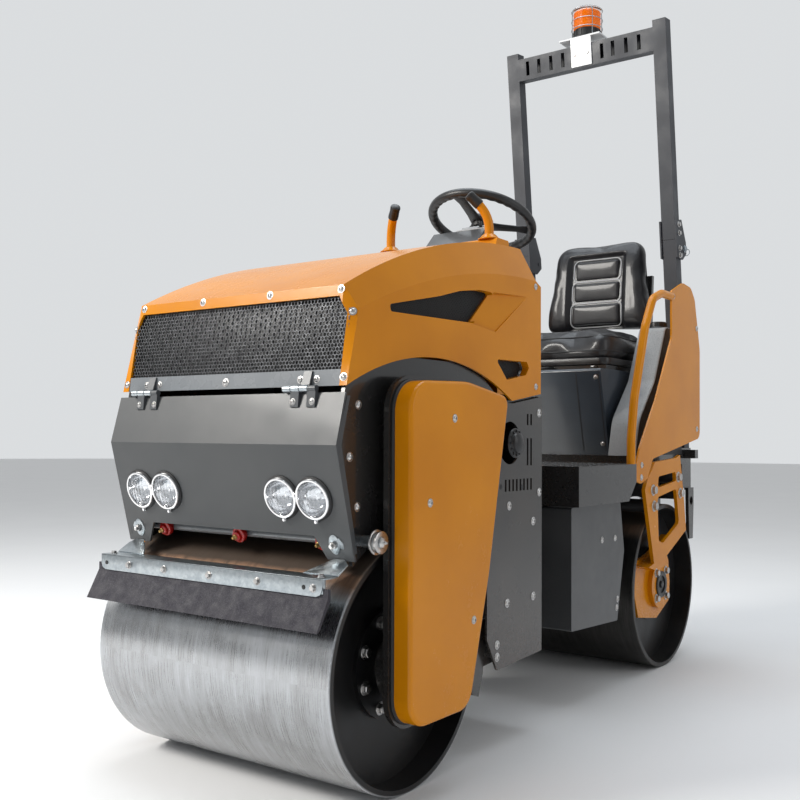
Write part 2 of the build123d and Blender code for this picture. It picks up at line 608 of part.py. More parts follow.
def make_lamp_panel():
    t = PANEL_T
    panel = slab_x((PANEL_TOP, PANEL_FOLD, PANEL_FOOT, moved(PANEL_FOOT, t, 1.2), moved(PANEL_FOLD, 1.05 * t, -1),
                    moved(PANEL_TOP, t, -1.2)), -PANEL_HALF, PANEL_HALF)
    top, foot, height = SPRAY_SLOT
    slot_top, slot_foot = PANEL_FOOT[1] + height, PANEL_FOOT[1] - 29
    panel -= slab_y(((foot - HOOD_HALF, slot_foot), (top - HOOD_HALF, slot_top), (HOOD_HALF - top, slot_top),
                     (HOOD_HALF - foot, slot_foot)), PANEL_FOLD[0] - 40, PANEL_FOOT[0] + 95)
    for x in LAMP_X:
        panel -= lamp_bar(x, -20, 20, LAMP_R + TOUCH)
    ear = above((-184, -15), (-240, 213), (-212, 316), (-222, 316), (-254, 213), (-200, -15))
    for piece in both_sides(slab_x(ear, CHEEK_OUT, PANEL_HALF - 2)):
        panel += piece
    return panel


def make_headlamps():
    lamps, lenses = [], []
    back, front = LAMP_LENS
    for x in LAMP_X:
        can = lamp_bar(x, -LAMP_DEPTH, LAMP_OUT, LAMP_R) + lamp_bar(x, 0, LAMP_OUT, LAMP_BEZEL_R)
        lamps.append(can - lamp_bar(x, back, LAMP_OUT + OVERSHOOT, LAMP_R - LAMP_RIM))
        lenses.append(lamp_bar(x, back, front, LAMP_R - LAMP_RIM - TOUCH))
    return lamps, lenses


def make_front_scraper():
    low, high = SCRAPER_Z
    back = SCRAPER_Y + SCRAPER_T
    blade = block(13 - DRUM_HALF, DRUM_HALF - 13, SCRAPER_Y, back, low, high)
    arm_top, arm_foot = PANEL_FOOT[1] + 46, PANEL_FOOT[1] + 3
    for x in (36 - HOOD_HALF, HOOD_HALF - 36):
        arm = slab_x(((back, low + 5), (back, high), (PANEL_FOOT[0] - 33, arm_top), on_panel(x, arm_top)[1:],
                      on_panel(x, arm_foot)[1:]), x - SCRAPER_ARM_T / 2, x + SCRAPER_ARM_T / 2)
        blade += arm - drum_arch(0)
    return blade


def make_mat():
    low, high = SCRAPER_Z
    lip_z = DRUM_R + 120
    face = SCRAPER_Y - TOUCH
    return slab_x(((face, high - 18), (face, low + 4), (MAT_FRONT + MAT_T, lip_z + 2), (MAT_FRONT, lip_z),
                   (face - MAT_T, low + 10), (face - MAT_T, high - 18)), -DRUM_HALF, DRUM_HALF)


def make_spray():
    end = CHEEK_IN - HINGE_PLAY
    pipe = bar_x(-end, end, SPRAY_Y, SPRAY_Z, SPRAY_PIPE_R)
    jets = []
    elbow = SPRAY_Y - 24
    for x in NOZZLES:
        jet = bar((x, SPRAY_Y - SPRAY_PIPE_R - TOUCH, SPRAY_Z), (x, elbow, SPRAY_Z), 8)
        jet += bar((x, elbow, SPRAY_Z), (x, elbow - 6, SPRAY_Z - 18), 6)
        jets.append(jet)
    return pipe, jets


def make_drum_wiper():
    """Scraper behind the front drum, hung between the lower corners of the side plates."""
    y, z = WIPER_Y, WIPER_Z
    half = DRUM_HALF - 33
    blade = block(-half, half, y, y + 12, z, z + 46)
    blade += block(-half, half, y + 12, y + 46, z + 34, z + 46)
    arm = ((-8, 72), (20, 59), (114, 66), (114, 150), (54, 180), (18, 180), (-6, 110))
    foot = ((-8, 72), (-6, 0), (24, -10), (46, 46), (46, 72))
    for side in (-1, 1):
        x_from, x_to = sorted((side * (WIPER_ARM_X - WIPER_ARM_T / 2), side * (WIPER_ARM_X + WIPER_ARM_T / 2)))
        for outline in (arm, foot):
            blade += slab_x([(y + dy, z + dz) for dy, dz in outline], x_from, x_to)
        blade += side_block(side, WIPER_ARM_X, DRUM_HALF - SIDE_GRILLE_T, y + 64, y + 104, z + 80, z + 140)
    return blade


def make_frame_pins():
    """Greased pins that carry the front drum's legs on the frame."""
    y, z = FRAME_PIN_AT
    pin = bar_x(CHEEK_OUT, LEG_OUT + 6, y, z, FRAME_PIN_R)
    return both_sides(pin + bar_x(LEG_IN, LEG_IN + 8, y, z, FRAME_PIN_R + 7))


def make_leg_buffers():
    buffers = []
    for y, z in LEG_BUFFERS:
        buffers += both_sides(bar_x(CHEEK_OUT, LEG_IN, y, z, BUFFER_R))
    return buffers


# ---------------------------------------------------------------- driver's controls on the front frame
LEAN_Y = math.sin(math.radians(WHEEL_LEAN))
LEAN_Z = math.cos(math.radians(WHEEL_LEAN))
COLUMN_TOP = -34.0        # top of the column, along its axis from the wheel's centre
SHAFT_END = 14.0
LEVER_RISE = (57.0, 46.0, 137.0)     # lever: inward, forward, up


def on_column(along):
    """Point of the steering column's axis, measured from the wheel's centre."""
    x, y, z = WHEEL_AT
    return (x, y + along * LEAN_Y, z + along * LEAN_Z)


def make_column():
    foot = -(WHEEL_AT[1] - CONSOLE_REAR + COLUMN_TOP) / LEAN_Y
    column = bar(on_column(foot), on_column(COLUMN_TOP), COLUMN_R)
    column += bar(on_column(COLUMN_TOP - 1), on_column(SHAFT_END), SHAFT_R - PIN_FIT)
    x, y, z = on_column(foot)
    return column + block(x - 38, x + 38, CONSOLE_REAR, y + 30, z - 40, z + 45)


def make_steering_wheel():
    hub_plane = Plane(origin=WHEEL_AT, x_dir=X_AXIS, z_dir=(0, LEAN_Y, LEAN_Z))
    reach = WHEEL_R - WHEEL_TUBE_R
    wheel = bar(on_column(-28), on_column(8), HUB_R) + bar(on_column(8), on_column(16), HUB_R + 4)
    for turn in (90, 210, 330):
        angle = math.radians(turn)
        start = hub_plane.from_local_coords((20 * math.cos(angle), 20 * math.sin(angle), -14))
        end = hub_plane.from_local_coords((reach * math.cos(angle), reach * math.sin(angle), 0))
        wheel += bar(tuple(start), tuple(end), SPOKE_R)
    wheel += hub_plane * Torus(reach, WHEEL_TUBE_R)
    return wheel - bar(on_column(-40), on_column(SHAFT_END + PIN_FIT), SHAFT_R)


def make_console():
    front, rear, top = CONSOLE_FRONT, CONSOLE_REAR, CONSOLE_TOP
    box = slab_x(((front, CONSOLE_FOOT), (front, top - 75), (front - 12, top - 25), (front - 4, top), (rear, top),
                  (rear, CONSOLE_FOOT)), -CONSOLE_HALF, CONSOLE_HALF)
    box = fillet(box.edges().filter_by(Axis.X).sort_by(Axis.Z)[-2:], 8.0)
    for x in (-CONSOLE_STAY_X, CONSOLE_STAY_X):
        box += block(x - 20, x + 20, BULKHEAD_Y + BULKHEAD_T, front, CONSOLE_FOOT + 15, CONSOLE_FOOT + 135)
    return box


def make_instruments():
    y, z = CONSOLE_REAR, CONSOLE_TOP
    box = slab_x(((y, z - 75), (y, z - 3), (y + 68, z + 67), (y + 90, z + 53), (y + 48, z - 75)),
                 -INSTRUMENT_HALF, INSTRUMENT_HALF)
    return fillet(box.edges().filter_by(Axis.X).sort_by(Axis.Z)[-2:], 4.0)


def make_levers():
    tubes, grips = [], []
    inward, forward, up = LEVER_RISE
    for side in (-1, 1):
        foot = Vector(side * LEVER_X, LEVER_Y, CONSOLE_TOP)
        lean = Vector(-side * inward, -forward, up)
        middle, core_end, end = foot + lean * 0.50, foot + lean * 0.92, foot + lean
        tube = bar(tuple(foot), tuple(foot + Vector(0, 0, 12)), LEVER_R + 5)
        tube += bar(tuple(foot + lean * 0.06), tuple(middle), LEVER_R)
        tubes.append(tube + bar(tuple(middle), tuple(core_end), LEVER_CORE_R))
        grip = bar(tuple(middle), tuple(end), GRIP_R)
        grip = fillet(grip.edges().filter_by(GeomType.CIRCLE), 6.0)
        grips.append(grip - bar(tuple(foot), tuple(core_end), LEVER_CORE_R + PIN_FIT))
    return tubes, grips


# ---------------------------------------------------------------- articulation and steering cylinder
def make_centre_link():
    top, low = PIVOT_Z + PIVOT_HALF_H, PIVOT_Z - PIVOT_HALF_H
    link = bar((0, STEER_Y, low + 1), (0, STEER_Y, top - 1), EAR_R - 10)
    link += bar((0, STEER_Y, low - EAR_T - 12), (0, STEER_Y, top + EAR_T + 12), STEER_PIN_R - PIN_FIT)
    link += block(10 - EAR_R, EAR_R - 10, STEER_Y, WALL_Y - 22, low + 12, top - 12)
    for y_from, y_to, radius in ((-24, -8, ROCK_HOUSING_R), (-8, 106, ROCK_R - PIN_FIT), (86, 106, ROCK_R + 16)):
        link += bar((0, WALL_Y + y_from, PIVOT_Z), (0, WALL_Y + y_to, PIVOT_Z), radius)
    near = EYE_HALF_T + CLEVIS_GAP
    far = near + CLEVIS_T
    for side in (-1, 1):
        low_z, high_z = sorted((PIVOT_Z + side * near, PIVOT_Z + side * far))
        arm = slab_z(((0, STEER_Y - 34), (CYL_X, STEER_Y - EYE_R), (CYL_X, STEER_Y + EYE_R), (0, STEER_Y + 50)),
                     low_z, high_z)
        arm += bar((CYL_X, STEER_Y, low_z), (CYL_X, STEER_Y, high_z), EYE_R)
        link += arm + bar((CYL_X, STEER_Y, PIVOT_Z + side * far), (CYL_X, STEER_Y, PIVOT_Z + side * (far + 8)),
                          CYL_PIN_R + 4)
    return link


def cylinder_bar(y_from, y_to, radius):
    """Round bar on the steering cylinder's axis."""
    return bar((CYL_X, y_from, PIVOT_Z), (CYL_X, y_to, PIVOT_Z), radius)


def upright(y, half, radius):
    """Round bar across the cylinder's axis, upright, at an eye."""
    return bar((CYL_X, y, PIVOT_Z - half), (CYL_X, y, PIVOT_Z + half), radius)


def make_cylinder():
    half = EYE_HALF_T
    neck = CYL_FOOT_Y + EYE_R
    mouth = CYL_MOUTH + OVERSHOOT
    barrel = upright(CYL_FOOT_Y, half, EYE_R) + cylinder_bar(CYL_FOOT_Y, neck + 6, half - 1)
    barrel += cylinder_bar(neck + 4, CYL_MOUTH, CYL_R)
    barrel += upright(CYL_FOOT_Y, half + CLEVIS_T + 4, CYL_PIN_R - PIN_FIT)
    barrel -= cylinder_bar(neck + 14, mouth, CYL_BORE)
    barrel += cylinder_bar(CYL_MOUTH - 22, CYL_MOUTH, CYL_R - 4) - cylinder_bar(CYL_MOUTH - 23, mouth, ROD_R)
    rod = cylinder_bar(CYL_MOUTH - 30, STEER_Y - 12, ROD_R - PIN_FIT) + upright(STEER_Y, half, EYE_R)
    return barrel, rod


# ---------------------------------------------------------------- rear frame
FENDER_STAY = (10.0, 42.0, 9.0, 41.0)         # stays on the beam's ends: front, rear, foot, top


def make_chassis():
    half = RAIL_IN + RAIL_T
    chassis = block(-half, half, WALL_Y, WALL_Y + WALL_T, WALL_FOOT, STEP_TOP)
    chassis += bar((0, WALL_Y - 7, PIVOT_Z), (0, WALL_Y + 84, PIVOT_Z), ROCK_HOUSING_R - 8)
    chassis -= bar((0, WALL_Y - 20, PIVOT_Z), (0, WALL_Y + 100, PIVOT_Z), ROCK_R)
    rail = slab_x(((WALL_Y, WALL_FOOT), (WHEELBASE - 409, WALL_FOOT), (WHEELBASE - 359, WALL_FOOT + 95),
                   (WHEELBASE - 249, RAIL_FOOT), (BEAM_FRONT, RAIL_FOOT), (BEAM_FRONT, RAIL_TOP),
                   (WALL_Y, RAIL_TOP)), RAIL_IN, half)
    for piece in both_sides(rail - drum_arch(WHEELBASE)):
        chassis += piece
    for y, foot in ((PLATFORM_FRONT - 62, RAIL_FOOT - 40), (BEAM_FRONT - 50, RAIL_FOOT + 60)):
        chassis += block(-RAIL_IN, RAIL_IN, y, y + CROSS_T, foot, RAIL_TOP)
    chassis += block(-BEAM_HALF, BEAM_HALF, BEAM_FRONT, BEAM_REAR, BEAM_FOOT, BEAM_TOP)
    front, rear, foot, top = FENDER_STAY
    for side in (-1, 1):
        chassis += side_block(side, POST_OUT, FENDER_IN, BEAM_FRONT + front, BEAM_FRONT + rear, DECK_Z + foot,
                              DECK_Z + top)
    return chassis


def make_deck():
    """Floor plate with a skirt turned down on three sides, and the raised plate behind it."""
    under = DECK_Z - DECK_T
    deck = block(-DECK_HALF, DECK_HALF, DECK_FRONT, DECK_REAR, under, DECK_Z)
    deck += block(-DECK_HALF, DECK_HALF, DECK_FRONT, DECK_FRONT + SKIRT_T, SKIRT_FOOT, DECK_Z)
    deck += block(-TANK_OUT, TANK_OUT, DECK_REAR, BEAM_FRONT, under, DECK_Z)
    deck += block(-TANK_OUT, TANK_OUT, PLATFORM_FRONT, BEAM_FRONT, DECK_Z, PLATFORM_Z)
    skirt = slab_x(((DECK_FRONT, SKIRT_FOOT), (DECK_REAR - SKIRT_BEVEL, SKIRT_FOOT),
                    (DECK_REAR, SKIRT_FOOT + SKIRT_BEVEL), (DECK_REAR, DECK_Z), (DECK_FRONT, DECK_Z)),
                   DECK_HALF - SKIRT_T, DECK_HALF)
    for piece in both_sides(skirt):
        deck += piece
    stay_front = PLATFORM_FRONT - 50
    for side in (-1, 1):
        deck += side_block(side, RAIL_IN, RAIL_IN + RAIL_T, WALL_Y, BEAM_FRONT, RAIL_TOP, under)
        deck += side_block(side, TANK_OUT, FENDER_IN, stay_front, PLATFORM_FRONT, DECK_Z - 17, DECK_Z)
        deck += side_block(side, TANK_OUT, TANK_OUT + SKIRT_T, stay_front, PLATFORM_FRONT, DECK_Z - 67, DECK_Z)
    return deck


STEP_FRONT = WALL_Y - 10.0
STEP_OUTLINE = ((STEP_FRONT, DRUM_R - 51), (WHEELBASE - 404, DRUM_R - 65), (WHEELBASE - 350, DRUM_R + 151),
                (WHEELBASE - 379, STEP_TOP), (STEP_FRONT, STEP_TOP))


def make_step_box():
    inner = RAIL_IN + RAIL_T
    box = slab_x(STEP_OUTLINE, inner, DRUM_HALF, STEP_WALL)
    outline = make_face(FilletPolyline(*STEP_OUTLINE, radius=STEP_WALL, close=True))
    room = Plane.YZ.offset(inner - OVERSHOOT) * offset(outline, amount=-STEP_WALL, kind=Kind.INTERSECTION)
    return box - extrude(room, amount=DRUM_HALF - STEP_WALL - inner + OVERSHOOT, dir=X_AXIS)


FORK_OUTLINE = (over_deck((-229, -88), (-203, -49), (-168, -23), (-141, 3), (56, 14), (96, 24), (135, -138))
                + hub_level(WHEELBASE, (154, 180), (-80, 88), (-143, 67)))
FORK_UPPER_WINDOW = over_deck((-109, -47), (51, -35), (57, -67), (-115, -85))
FORK_LOWER_WINDOW = (over_deck((-119, -117), (57, -95))
                     + hub_level(WHEELBASE, (83, 210), (-69, 152), (-109, 160)))
BEARING_OUTLINE = hub_level(WHEELBASE, (-223, 79), (-197, 93), (66, 130), (114, 72), (123, -36), (113, -71),
                            (-2, -118), (-164, -95), (-206, 4))
FORK_SHELF = hub_level(WHEELBASE, (-197, 81), (-143, 67), (-80, 88), (101, 159), (73, 167), (-87, 104),
                       (-141, 92))
FORK_BOLTS = over_deck((-159, -91), (-151, -145), (75, -54), (95, -112))
FORK_BOLT_R = 11.0
FORK_BOLT_T = 9.0


def make_fork():
    fork = slab_x(FORK_OUTLINE, FORK_IN, FORK_OUT)
    fork -= slab_x(FORK_UPPER_WINDOW, FORK_IN - OVERSHOOT, FORK_OUT + OVERSHOOT, 10.0)
    fork -= slab_x(FORK_LOWER_WINDOW, FORK_IN - OVERSHOOT, FORK_OUT + OVERSHOOT, 18.0)
    inner = BEARING_OUT - BEARING_T
    hub_face = BEARING_OUT + FORK_HUB_T
    fork += slab_x(BEARING_OUTLINE, inner, BEARING_OUT)
    fork += slab_x(FORK_SHELF, inner, FORK_OUT)
    fork += bar_x(BEARING_OUT, hub_face, WHEELBASE, DRUM_R, FORK_HUB_R)
    fork += bar_x(WEB_FACE - STUB_REACH, BEARING_OUT, WHEELBASE, DRUM_R, AXLE_R - AXLE_FIT)
    for turn in range(FORK_HUB_BOLTS):
        angle = 2 * math.pi * (turn + 0.5) / FORK_HUB_BOLTS
        y, z = WHEELBASE + FORK_HUB_BOLT_R * math.cos(angle), DRUM_R + FORK_HUB_BOLT_R * math.sin(angle)
        fork += bar_x(hub_face, hub_face + FORK_BOLT_T, y, z, FORK_BOLT_R - 2)
    for y, z in FORK_BOLTS:
        fork += bar_x(FORK_OUT, FORK_OUT + FORK_BOLT_T, y, z, FORK_BOLT_R)
    return fork


def make_fork_buffers():
    buffers = []
    for y, z in FORK_BOLTS:
        buffers += both_sides(bar_x(RAIL_IN + RAIL_T, FORK_IN, y, z, BUFFER_R))
    return buffers


def make_pedestal():
    box = slab_x(((WHEELBASE - 141, PLATFORM_Z), (WHEELBASE - 217, SEAT_BASE_Z), (WHEELBASE + 161, SEAT_BASE_Z),
                  (WHEELBASE + 161, PLATFORM_Z)), -PEDESTAL_HALF, PEDESTAL_HALF)
    return fillet(box.edges().filter_by(Axis.X).sort_by(Axis.Z)[-2:], 10.0)


def make_seat():
    base_z, foot, top = SEAT_BASE_Z, SEAT_FOOT, SEAT_TOP
    y = WHEELBASE
    low_z, high_z = BACK_REAR_Z
    lean = (BACK_REAR_TOP - BACK_REAR_FOOT) / (high_z - low_z)
    base = block(20 - SEAT_HALF, SEAT_HALF - 20, y - 147, y + 221, base_z, foot - TOUCH)
    arm_in, arm_out = SEAT_ARM
    arm = slab_x(((y + 161, base_z), (y + 221, base_z), (y + 303, base_z + 120), (y + 325, high_z),
                  (BACK_REAR_TOP + TOUCH, high_z), (BACK_REAR_FOOT + TOUCH, low_z), (y + 283, low_z - 40),
                  (y + 201, base_z + 14)), SEAT_HALF - arm_in, SEAT_HALF - arm_out)
    for piece in both_sides(arm):
        base += piece
    cushion = slab_x(((y - 161, foot), (y - 167, top - 35), (y - 139, top - 4), (y + 21, top - 14),
                      (y + 189, top), (y + 197, foot)), -SEAT_HALF, SEAT_HALF, 18.0)
    back = slab_x(((y + 199, low_z), (y + 203, low_z + 130), (y + 211, low_z + 280), (y + 233, low_z + 369),
                   (y + 283, low_z + 366), (BACK_REAR_TOP + 15 * lean, high_z + 15),
                   (BACK_REAR_FOOT - 8 * lean, low_z - 8)),
                  -SEAT_HALF, SEAT_HALF, (20.0, 20.0, 20.0, 20.0, 20.0, 20.0, 5.0))
    return base, cushion, back


TANK_OUTLINE = over_deck((-197, 24), (-164, 145), (-25, 283), (83, 485), (196, 485), (247, 24))
TANK_ROUNDS = (0, 120.0, 90.0, 28.0, 28.0, 0)


def make_tank():
    tank = slab_x(TANK_OUTLINE, TANK_IN, TANK_OUT, TANK_ROUNDS)
    return fillet(tank.faces().sort_by(Axis.X)[-1].edges().filter_by(Axis.Y, reverse=True), 8.0)


FENDER_OUTLINE = (over_deck((-337, -51), (-279, 51), (-140, 213), (11, 436), (12, 603))
                  + ((BEAM_FRONT - 129, DECK_Z + 645), (BEAM_FRONT - 46, DECK_Z + 637),
                     (BEAM_FRONT - 4, DECK_Z + 597), (BEAM_FRONT + 48, DECK_Z + 415),
                     (BEAM_FRONT + 44, DECK_Z + 85))
                  + over_deck((-168, 14), (-212, -49), (-271, -66)))
FENDER_ROUNDS = (8, 60, 120, 30, 10, 60, 40, 40, 120, 30, 30, 30, 20)
HANDRAIL = over_deck((-345, 0), (-345, 77), (-320, 207), (-226, 453), (-159, 555), (-79, 583), (11, 583))
HANDRAIL_ROUNDS = (150, 200, 90, 60, 90)


def make_fender():
    return slab_x(FENDER_OUTLINE, FENDER_IN, FENDER_IN + FENDER_T, FENDER_ROUNDS)


def make_handrail():
    x = FENDER_IN + FENDER_T / 2
    route = FilletPolyline(*[(x, y, z) for y, z in HANDRAIL], radius=HANDRAIL_ROUNDS)
    section = Plane(origin=route @ 0, z_dir=route % 0) * Circle(RAIL_TUBE_R)
    return sweep(section, path=route)


# ---------------------------------------------------------------- roll-over bar
LEAN = math.radians(POST_LEAN)
POST_PLANE_Y = POST_REF[0] + math.tan(LEAN) * POST_REF[1]      # front face carried down to the ground


def lean_point(z, back=0.0):
    """Y and Z of the post's front face at a height, moved back square to that face."""
    return (POST_PLANE_Y - math.tan(LEAN) * z + back * math.cos(LEAN), z + back * math.sin(LEAN))


def post_slab(z_from, z_to, near, far, x_from, x_to):
    """Piece of the leaning bar between two heights, square to its axis at both ends."""
    corners = (lean_point(z_from, near), lean_point(z_to, near), lean_point(z_to, far), lean_point(z_from, far))
    return slab_x(corners, x_from, x_to)


def post_tube(z_from, z_to, side):
    x_from, x_to = sorted((side * POST_IN, side * POST_OUT))
    wall = POST_WALL
    tube = post_slab(z_from, z_to, 0, POST_SIZE, x_from, x_to)
    return tube - post_slab(z_from - 20, z_to - wall, wall, POST_SIZE - wall, x_from + wall, x_to - wall)


FOLD_Y, FOLD_Z = lean_point(POST_JOINT_Z - FOLD_DOWN, POST_SIZE + FOLD_BACK)
CHEEK_POINTS = ((-67, -6), (70, -6), (74, POST_SIZE + 6), (-10, POST_SIZE + 44), (-52, POST_SIZE + 44),
                (-75, POST_SIZE + 4))
CHEEK_PAD = (-67.0, -4.0, 2.0)      # pad under each cheek: foot, top, edge


def make_lower_posts():
    posts = []
    cheek_outline = [lean_point(POST_JOINT_Z + z, back) for z, back in CHEEK_POINTS]
    pad_foot, pad_top, edge = CHEEK_PAD
    for side in (-1, 1):
        post = post_tube(BEAM_TOP - 40, POST_JOINT_Z - JOINT_GAP, side)
        post -= block(-DRUM_HALF, DRUM_HALF, BEAM_FRONT - 90, BEAM_REAR + 115, BEAM_TOP - 200, BEAM_TOP)
        for face, out in ((POST_IN, -1), (POST_OUT, 1)):
            pad_x = side * face, side * (face + out * BRACKET_GAP)
            cheek_x = pad_x[1], side * (face + out * (BRACKET_GAP + BRACKET_T))
            post += slab_x(cheek_outline, *sorted(cheek_x))
            post += post_slab(POST_JOINT_Z + pad_foot, POST_JOINT_Z + pad_top, edge, POST_SIZE - edge, *sorted(pad_x))
        x_from, x_to = sorted((side * (POST_IN - 9), side * (POST_OUT + 9)))
        posts.append(post + bar_x(x_from, x_to, FOLD_Y, FOLD_Z, FOLD_PIN_R - PIN_FIT))
    return posts


def make_hoop():
    hoop = post_slab(BAR_FOOT_Z, BAR_TOP_Z, 0, POST_SIZE, -POST_IN, POST_IN)
    hoop -= post_slab(BAR_FOOT_Z + POST_WALL, BAR_TOP_Z - POST_WALL, POST_WALL, POST_SIZE - POST_WALL, -POST_IN,
                      POST_IN)
    for share in BAR_SLOT_SHARES:
        x = share * POST_IN
        hoop -= post_slab(BAR_FOOT_Z + 16, BAR_TOP_Z - 14, -2, POST_WALL + 1, x - BAR_SLOT_W / 2,
                          x + BAR_SLOT_W / 2)
    lug_outline = (lean_point(POST_JOINT_Z + 2, POST_SIZE), lean_point(POST_JOINT_Z + 70, POST_SIZE),
                   lean_point(POST_JOINT_Z + 30, POST_SIZE + FOLD_BACK + 14), (FOLD_Y + 15, FOLD_Z),
                   (FOLD_Y - 12, FOLD_Z + 8))
    for side in (-1, 1):
        hoop += post_tube(POST_JOINT_Z + JOINT_GAP, POST_TOP_Z, side)
        x_from, x_to = sorted((side * (POST_IN + 12), side * (POST_OUT - 12)))
        lug = slab_x(lug_outline, x_from, x_to) + bar_x(x_from, x_to, FOLD_Y, FOLD_Z, FOLD_LUG_R)
        hoop += lug - bar_x(x_from - OVERSHOOT, x_to + OVERSHOOT, FOLD_Y, FOLD_Z, FOLD_PIN_R)
    return hoop


def make_beacon_bracket():
    bracket = post_slab(BAR_FOOT_Z + 4, POST_TOP_Z + 2, -6, 0, BEACON_X - 37, BEACON_X + 47)
    y_front = lean_point(POST_TOP_Z, -6)[0]
    half, depth, thick = BEACON_PLATE
    return bracket + block(BEACON_X - half, BEACON_X + half, y_front, y_front + depth, POST_TOP_Z,
                           POST_TOP_Z + thick)


def make_beacon():
    _, depth, thick = BEACON_PLATE
    y = lean_point(POST_TOP_Z, -6)[0] + depth / 2 + 2
    foot = POST_TOP_Z + thick
    seat = foot + BEACON_FOOT_T
    base = bar((BEACON_X, y, foot), (BEACON_X, y, seat), BEACON_R)
    lens = bar((BEACON_X, y, seat), (BEACON_X, y, BEACON_TOP), BEACON_R - 3)
    return base, fillet(lens.edges().filter_by(GeomType.CIRCLE).sort_by(Axis.Z)[-1], BEACON_CURVE)


LASHING_R = 16.0
LASHING_AT = (BEAM_REAR - 27.0, BEAM_FOOT - 49.0)
LASHING_ARM_T = 12.0


def make_rear_scraper():
    """Scraper of the rear drum; its arms hang from the beam and hold the lashing eyes."""
    half = BEAM_HALF - 1
    y, z = BEAM_REAR, DRUM_R + 144
    scraper = block(-half, half, y - 39, y - 29, z, z + 46) + block(-half, half, y - 59, y - 29, z, z + BLADE_T)
    outline = ((y - 57, BEAM_FOOT), (y - 1, BEAM_FOOT), (y - 1, BEAM_FOOT - 65), (y - 11, z - 10),
               (y - 47, z - 10), (y - 55, BEAM_FOOT - 85))
    arm_in = BEAM_HALF + 5 - LASHING_ARM_T / 2
    arm_out = arm_in + LASHING_ARM_T
    for side in (-1, 1):
        x_from, x_to = sorted((side * arm_in, side * arm_out))
        scraper += slab_x(outline, x_from, x_to) - bar_x(x_from - OVERSHOOT, x_to + OVERSHOOT, *LASHING_AT, LASHING_R)
        scraper += side_block(side, arm_in - 5, arm_out, y - 55, y - 5, BEAM_FOOT - 8, BEAM_FOOT)
    return scraper


def main():
    os.makedirs("parts", exist_ok=True)
    save("front_drum", make_drum(0))
    save("rear_drum", make_drum(WHEELBASE))
    room = hood_form(HOOD_WALL, HOOD_ROOM)
    hood, meshes = make_hood(room)
    save("hood_shell", hood)
    save("hood_side_meshes", *meshes)
    save("hood_grille", make_grille(room))
    save("hinge_strip", make_hinge_strip())
    hood_leaves, panel_leaves = make_hinges()
    save("hood_hinge_leaves", *hood_leaves)
    save("panel_hinge_leaves", *panel_leaves)
    save("front_frame", make_front_frame())
    save("drum_legs", *both_sides(make_leg()))
    save("drive_covers", *both_sides(make_cover()))
    save("leg_buffers", *make_leg_buffers())
    save("side_grilles", *both_sides(make_side_grille()))
    save("intake_caps", *both_sides(make_knob()))
    save("lamp_panel", make_lamp_panel())
    lamps, lenses = make_headlamps()
    save("headlamps", *lamps)
    save("lamp_lenses", *lenses)
    save("front_scraper", make_front_scraper())
    save("scraper_mat", make_mat())
    pipe, jets = make_spray()
    save("spray_bar", pipe)
    save("spray_nozzles", *jets)
    save("drum_wiper", make_drum_wiper())
    save("frame_pins", *make_frame_pins())
    half, front, rear, top = ENGINE
    save("engine_block", block(-half, half, front, rear, FLOOR_Z + FLOOR_T, top))
    save("steering_column", make_column())
    save("steering_wheel", make_steering_wheel())
    save("dash_console", make_console())
    save("instrument_box", make_instruments())
    tubes, grips = make_levers()
    save("travel_levers", *tubes)
    save("lever_grips", *grips)
    save("centre_link", make_centre_link())
    barrel, rod = make_cylinder()
    save("cylinder_barrel", barrel)
    save("cylinder_rod", rod)
    save("rear_chassis", make_chassis())
    save("deck", make_deck())
    save("step_boxes", *both_sides(make_step_box()))
    save("rear_forks", *both_sides(make_fork()))
    save("fork_buffers", *make_fork_buffers())
    save("seat_pedestal", make_pedestal())
    base, cushion, back = make_seat()
    save("seat_frame", base)
    save("seat_cushion", cushion)
    save("seat_back", back)
    save("side_tanks", *both_sides(make_tank()))
    save("rear_fenders", *both_sides(make_fender()))
    save("handrails", *both_sides(make_handrail()))
    save("rollbar_posts", *make_lower_posts())
    save("rollbar_hoop", make_hoop())
    save("beacon_bracket", make_beacon_bracket())
    beacon_base, beacon_lens = make_beacon()
    save("beacon_base", beacon_base)
    save("beacon_lens", beacon_lens)
    save("rear_scraper", make_rear_scraper())


main()
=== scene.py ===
"""Visual model of a small ride-on tandem road roller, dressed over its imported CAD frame."""

import json
import math

import bpy
from mathutils import Matrix, Vector


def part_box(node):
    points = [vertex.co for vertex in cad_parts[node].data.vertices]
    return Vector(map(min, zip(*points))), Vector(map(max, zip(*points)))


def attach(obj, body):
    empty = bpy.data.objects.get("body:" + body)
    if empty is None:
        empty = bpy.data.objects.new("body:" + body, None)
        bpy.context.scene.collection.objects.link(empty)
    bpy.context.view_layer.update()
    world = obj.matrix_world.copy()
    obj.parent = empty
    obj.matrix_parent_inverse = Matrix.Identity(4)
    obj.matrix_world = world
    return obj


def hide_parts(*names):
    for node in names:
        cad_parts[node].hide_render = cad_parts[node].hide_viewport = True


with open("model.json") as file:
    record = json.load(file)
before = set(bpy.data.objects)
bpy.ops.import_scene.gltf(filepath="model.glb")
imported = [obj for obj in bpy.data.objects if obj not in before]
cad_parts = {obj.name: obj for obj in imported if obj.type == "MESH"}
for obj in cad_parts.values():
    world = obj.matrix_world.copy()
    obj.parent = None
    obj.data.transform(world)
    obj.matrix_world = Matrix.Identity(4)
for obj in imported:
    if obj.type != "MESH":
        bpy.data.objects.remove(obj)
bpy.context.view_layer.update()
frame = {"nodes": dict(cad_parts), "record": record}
NODES = frame["nodes"]
JOINTS = {joint["name"]: joint for joint in frame["record"]["behaviour"]["joints"]}
MM = 0.001
FRONT_AXLE = sum(corner[1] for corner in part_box("front_drum")) / 2
REAR_AXLE = sum(corner[1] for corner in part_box("rear_drum")) / 2
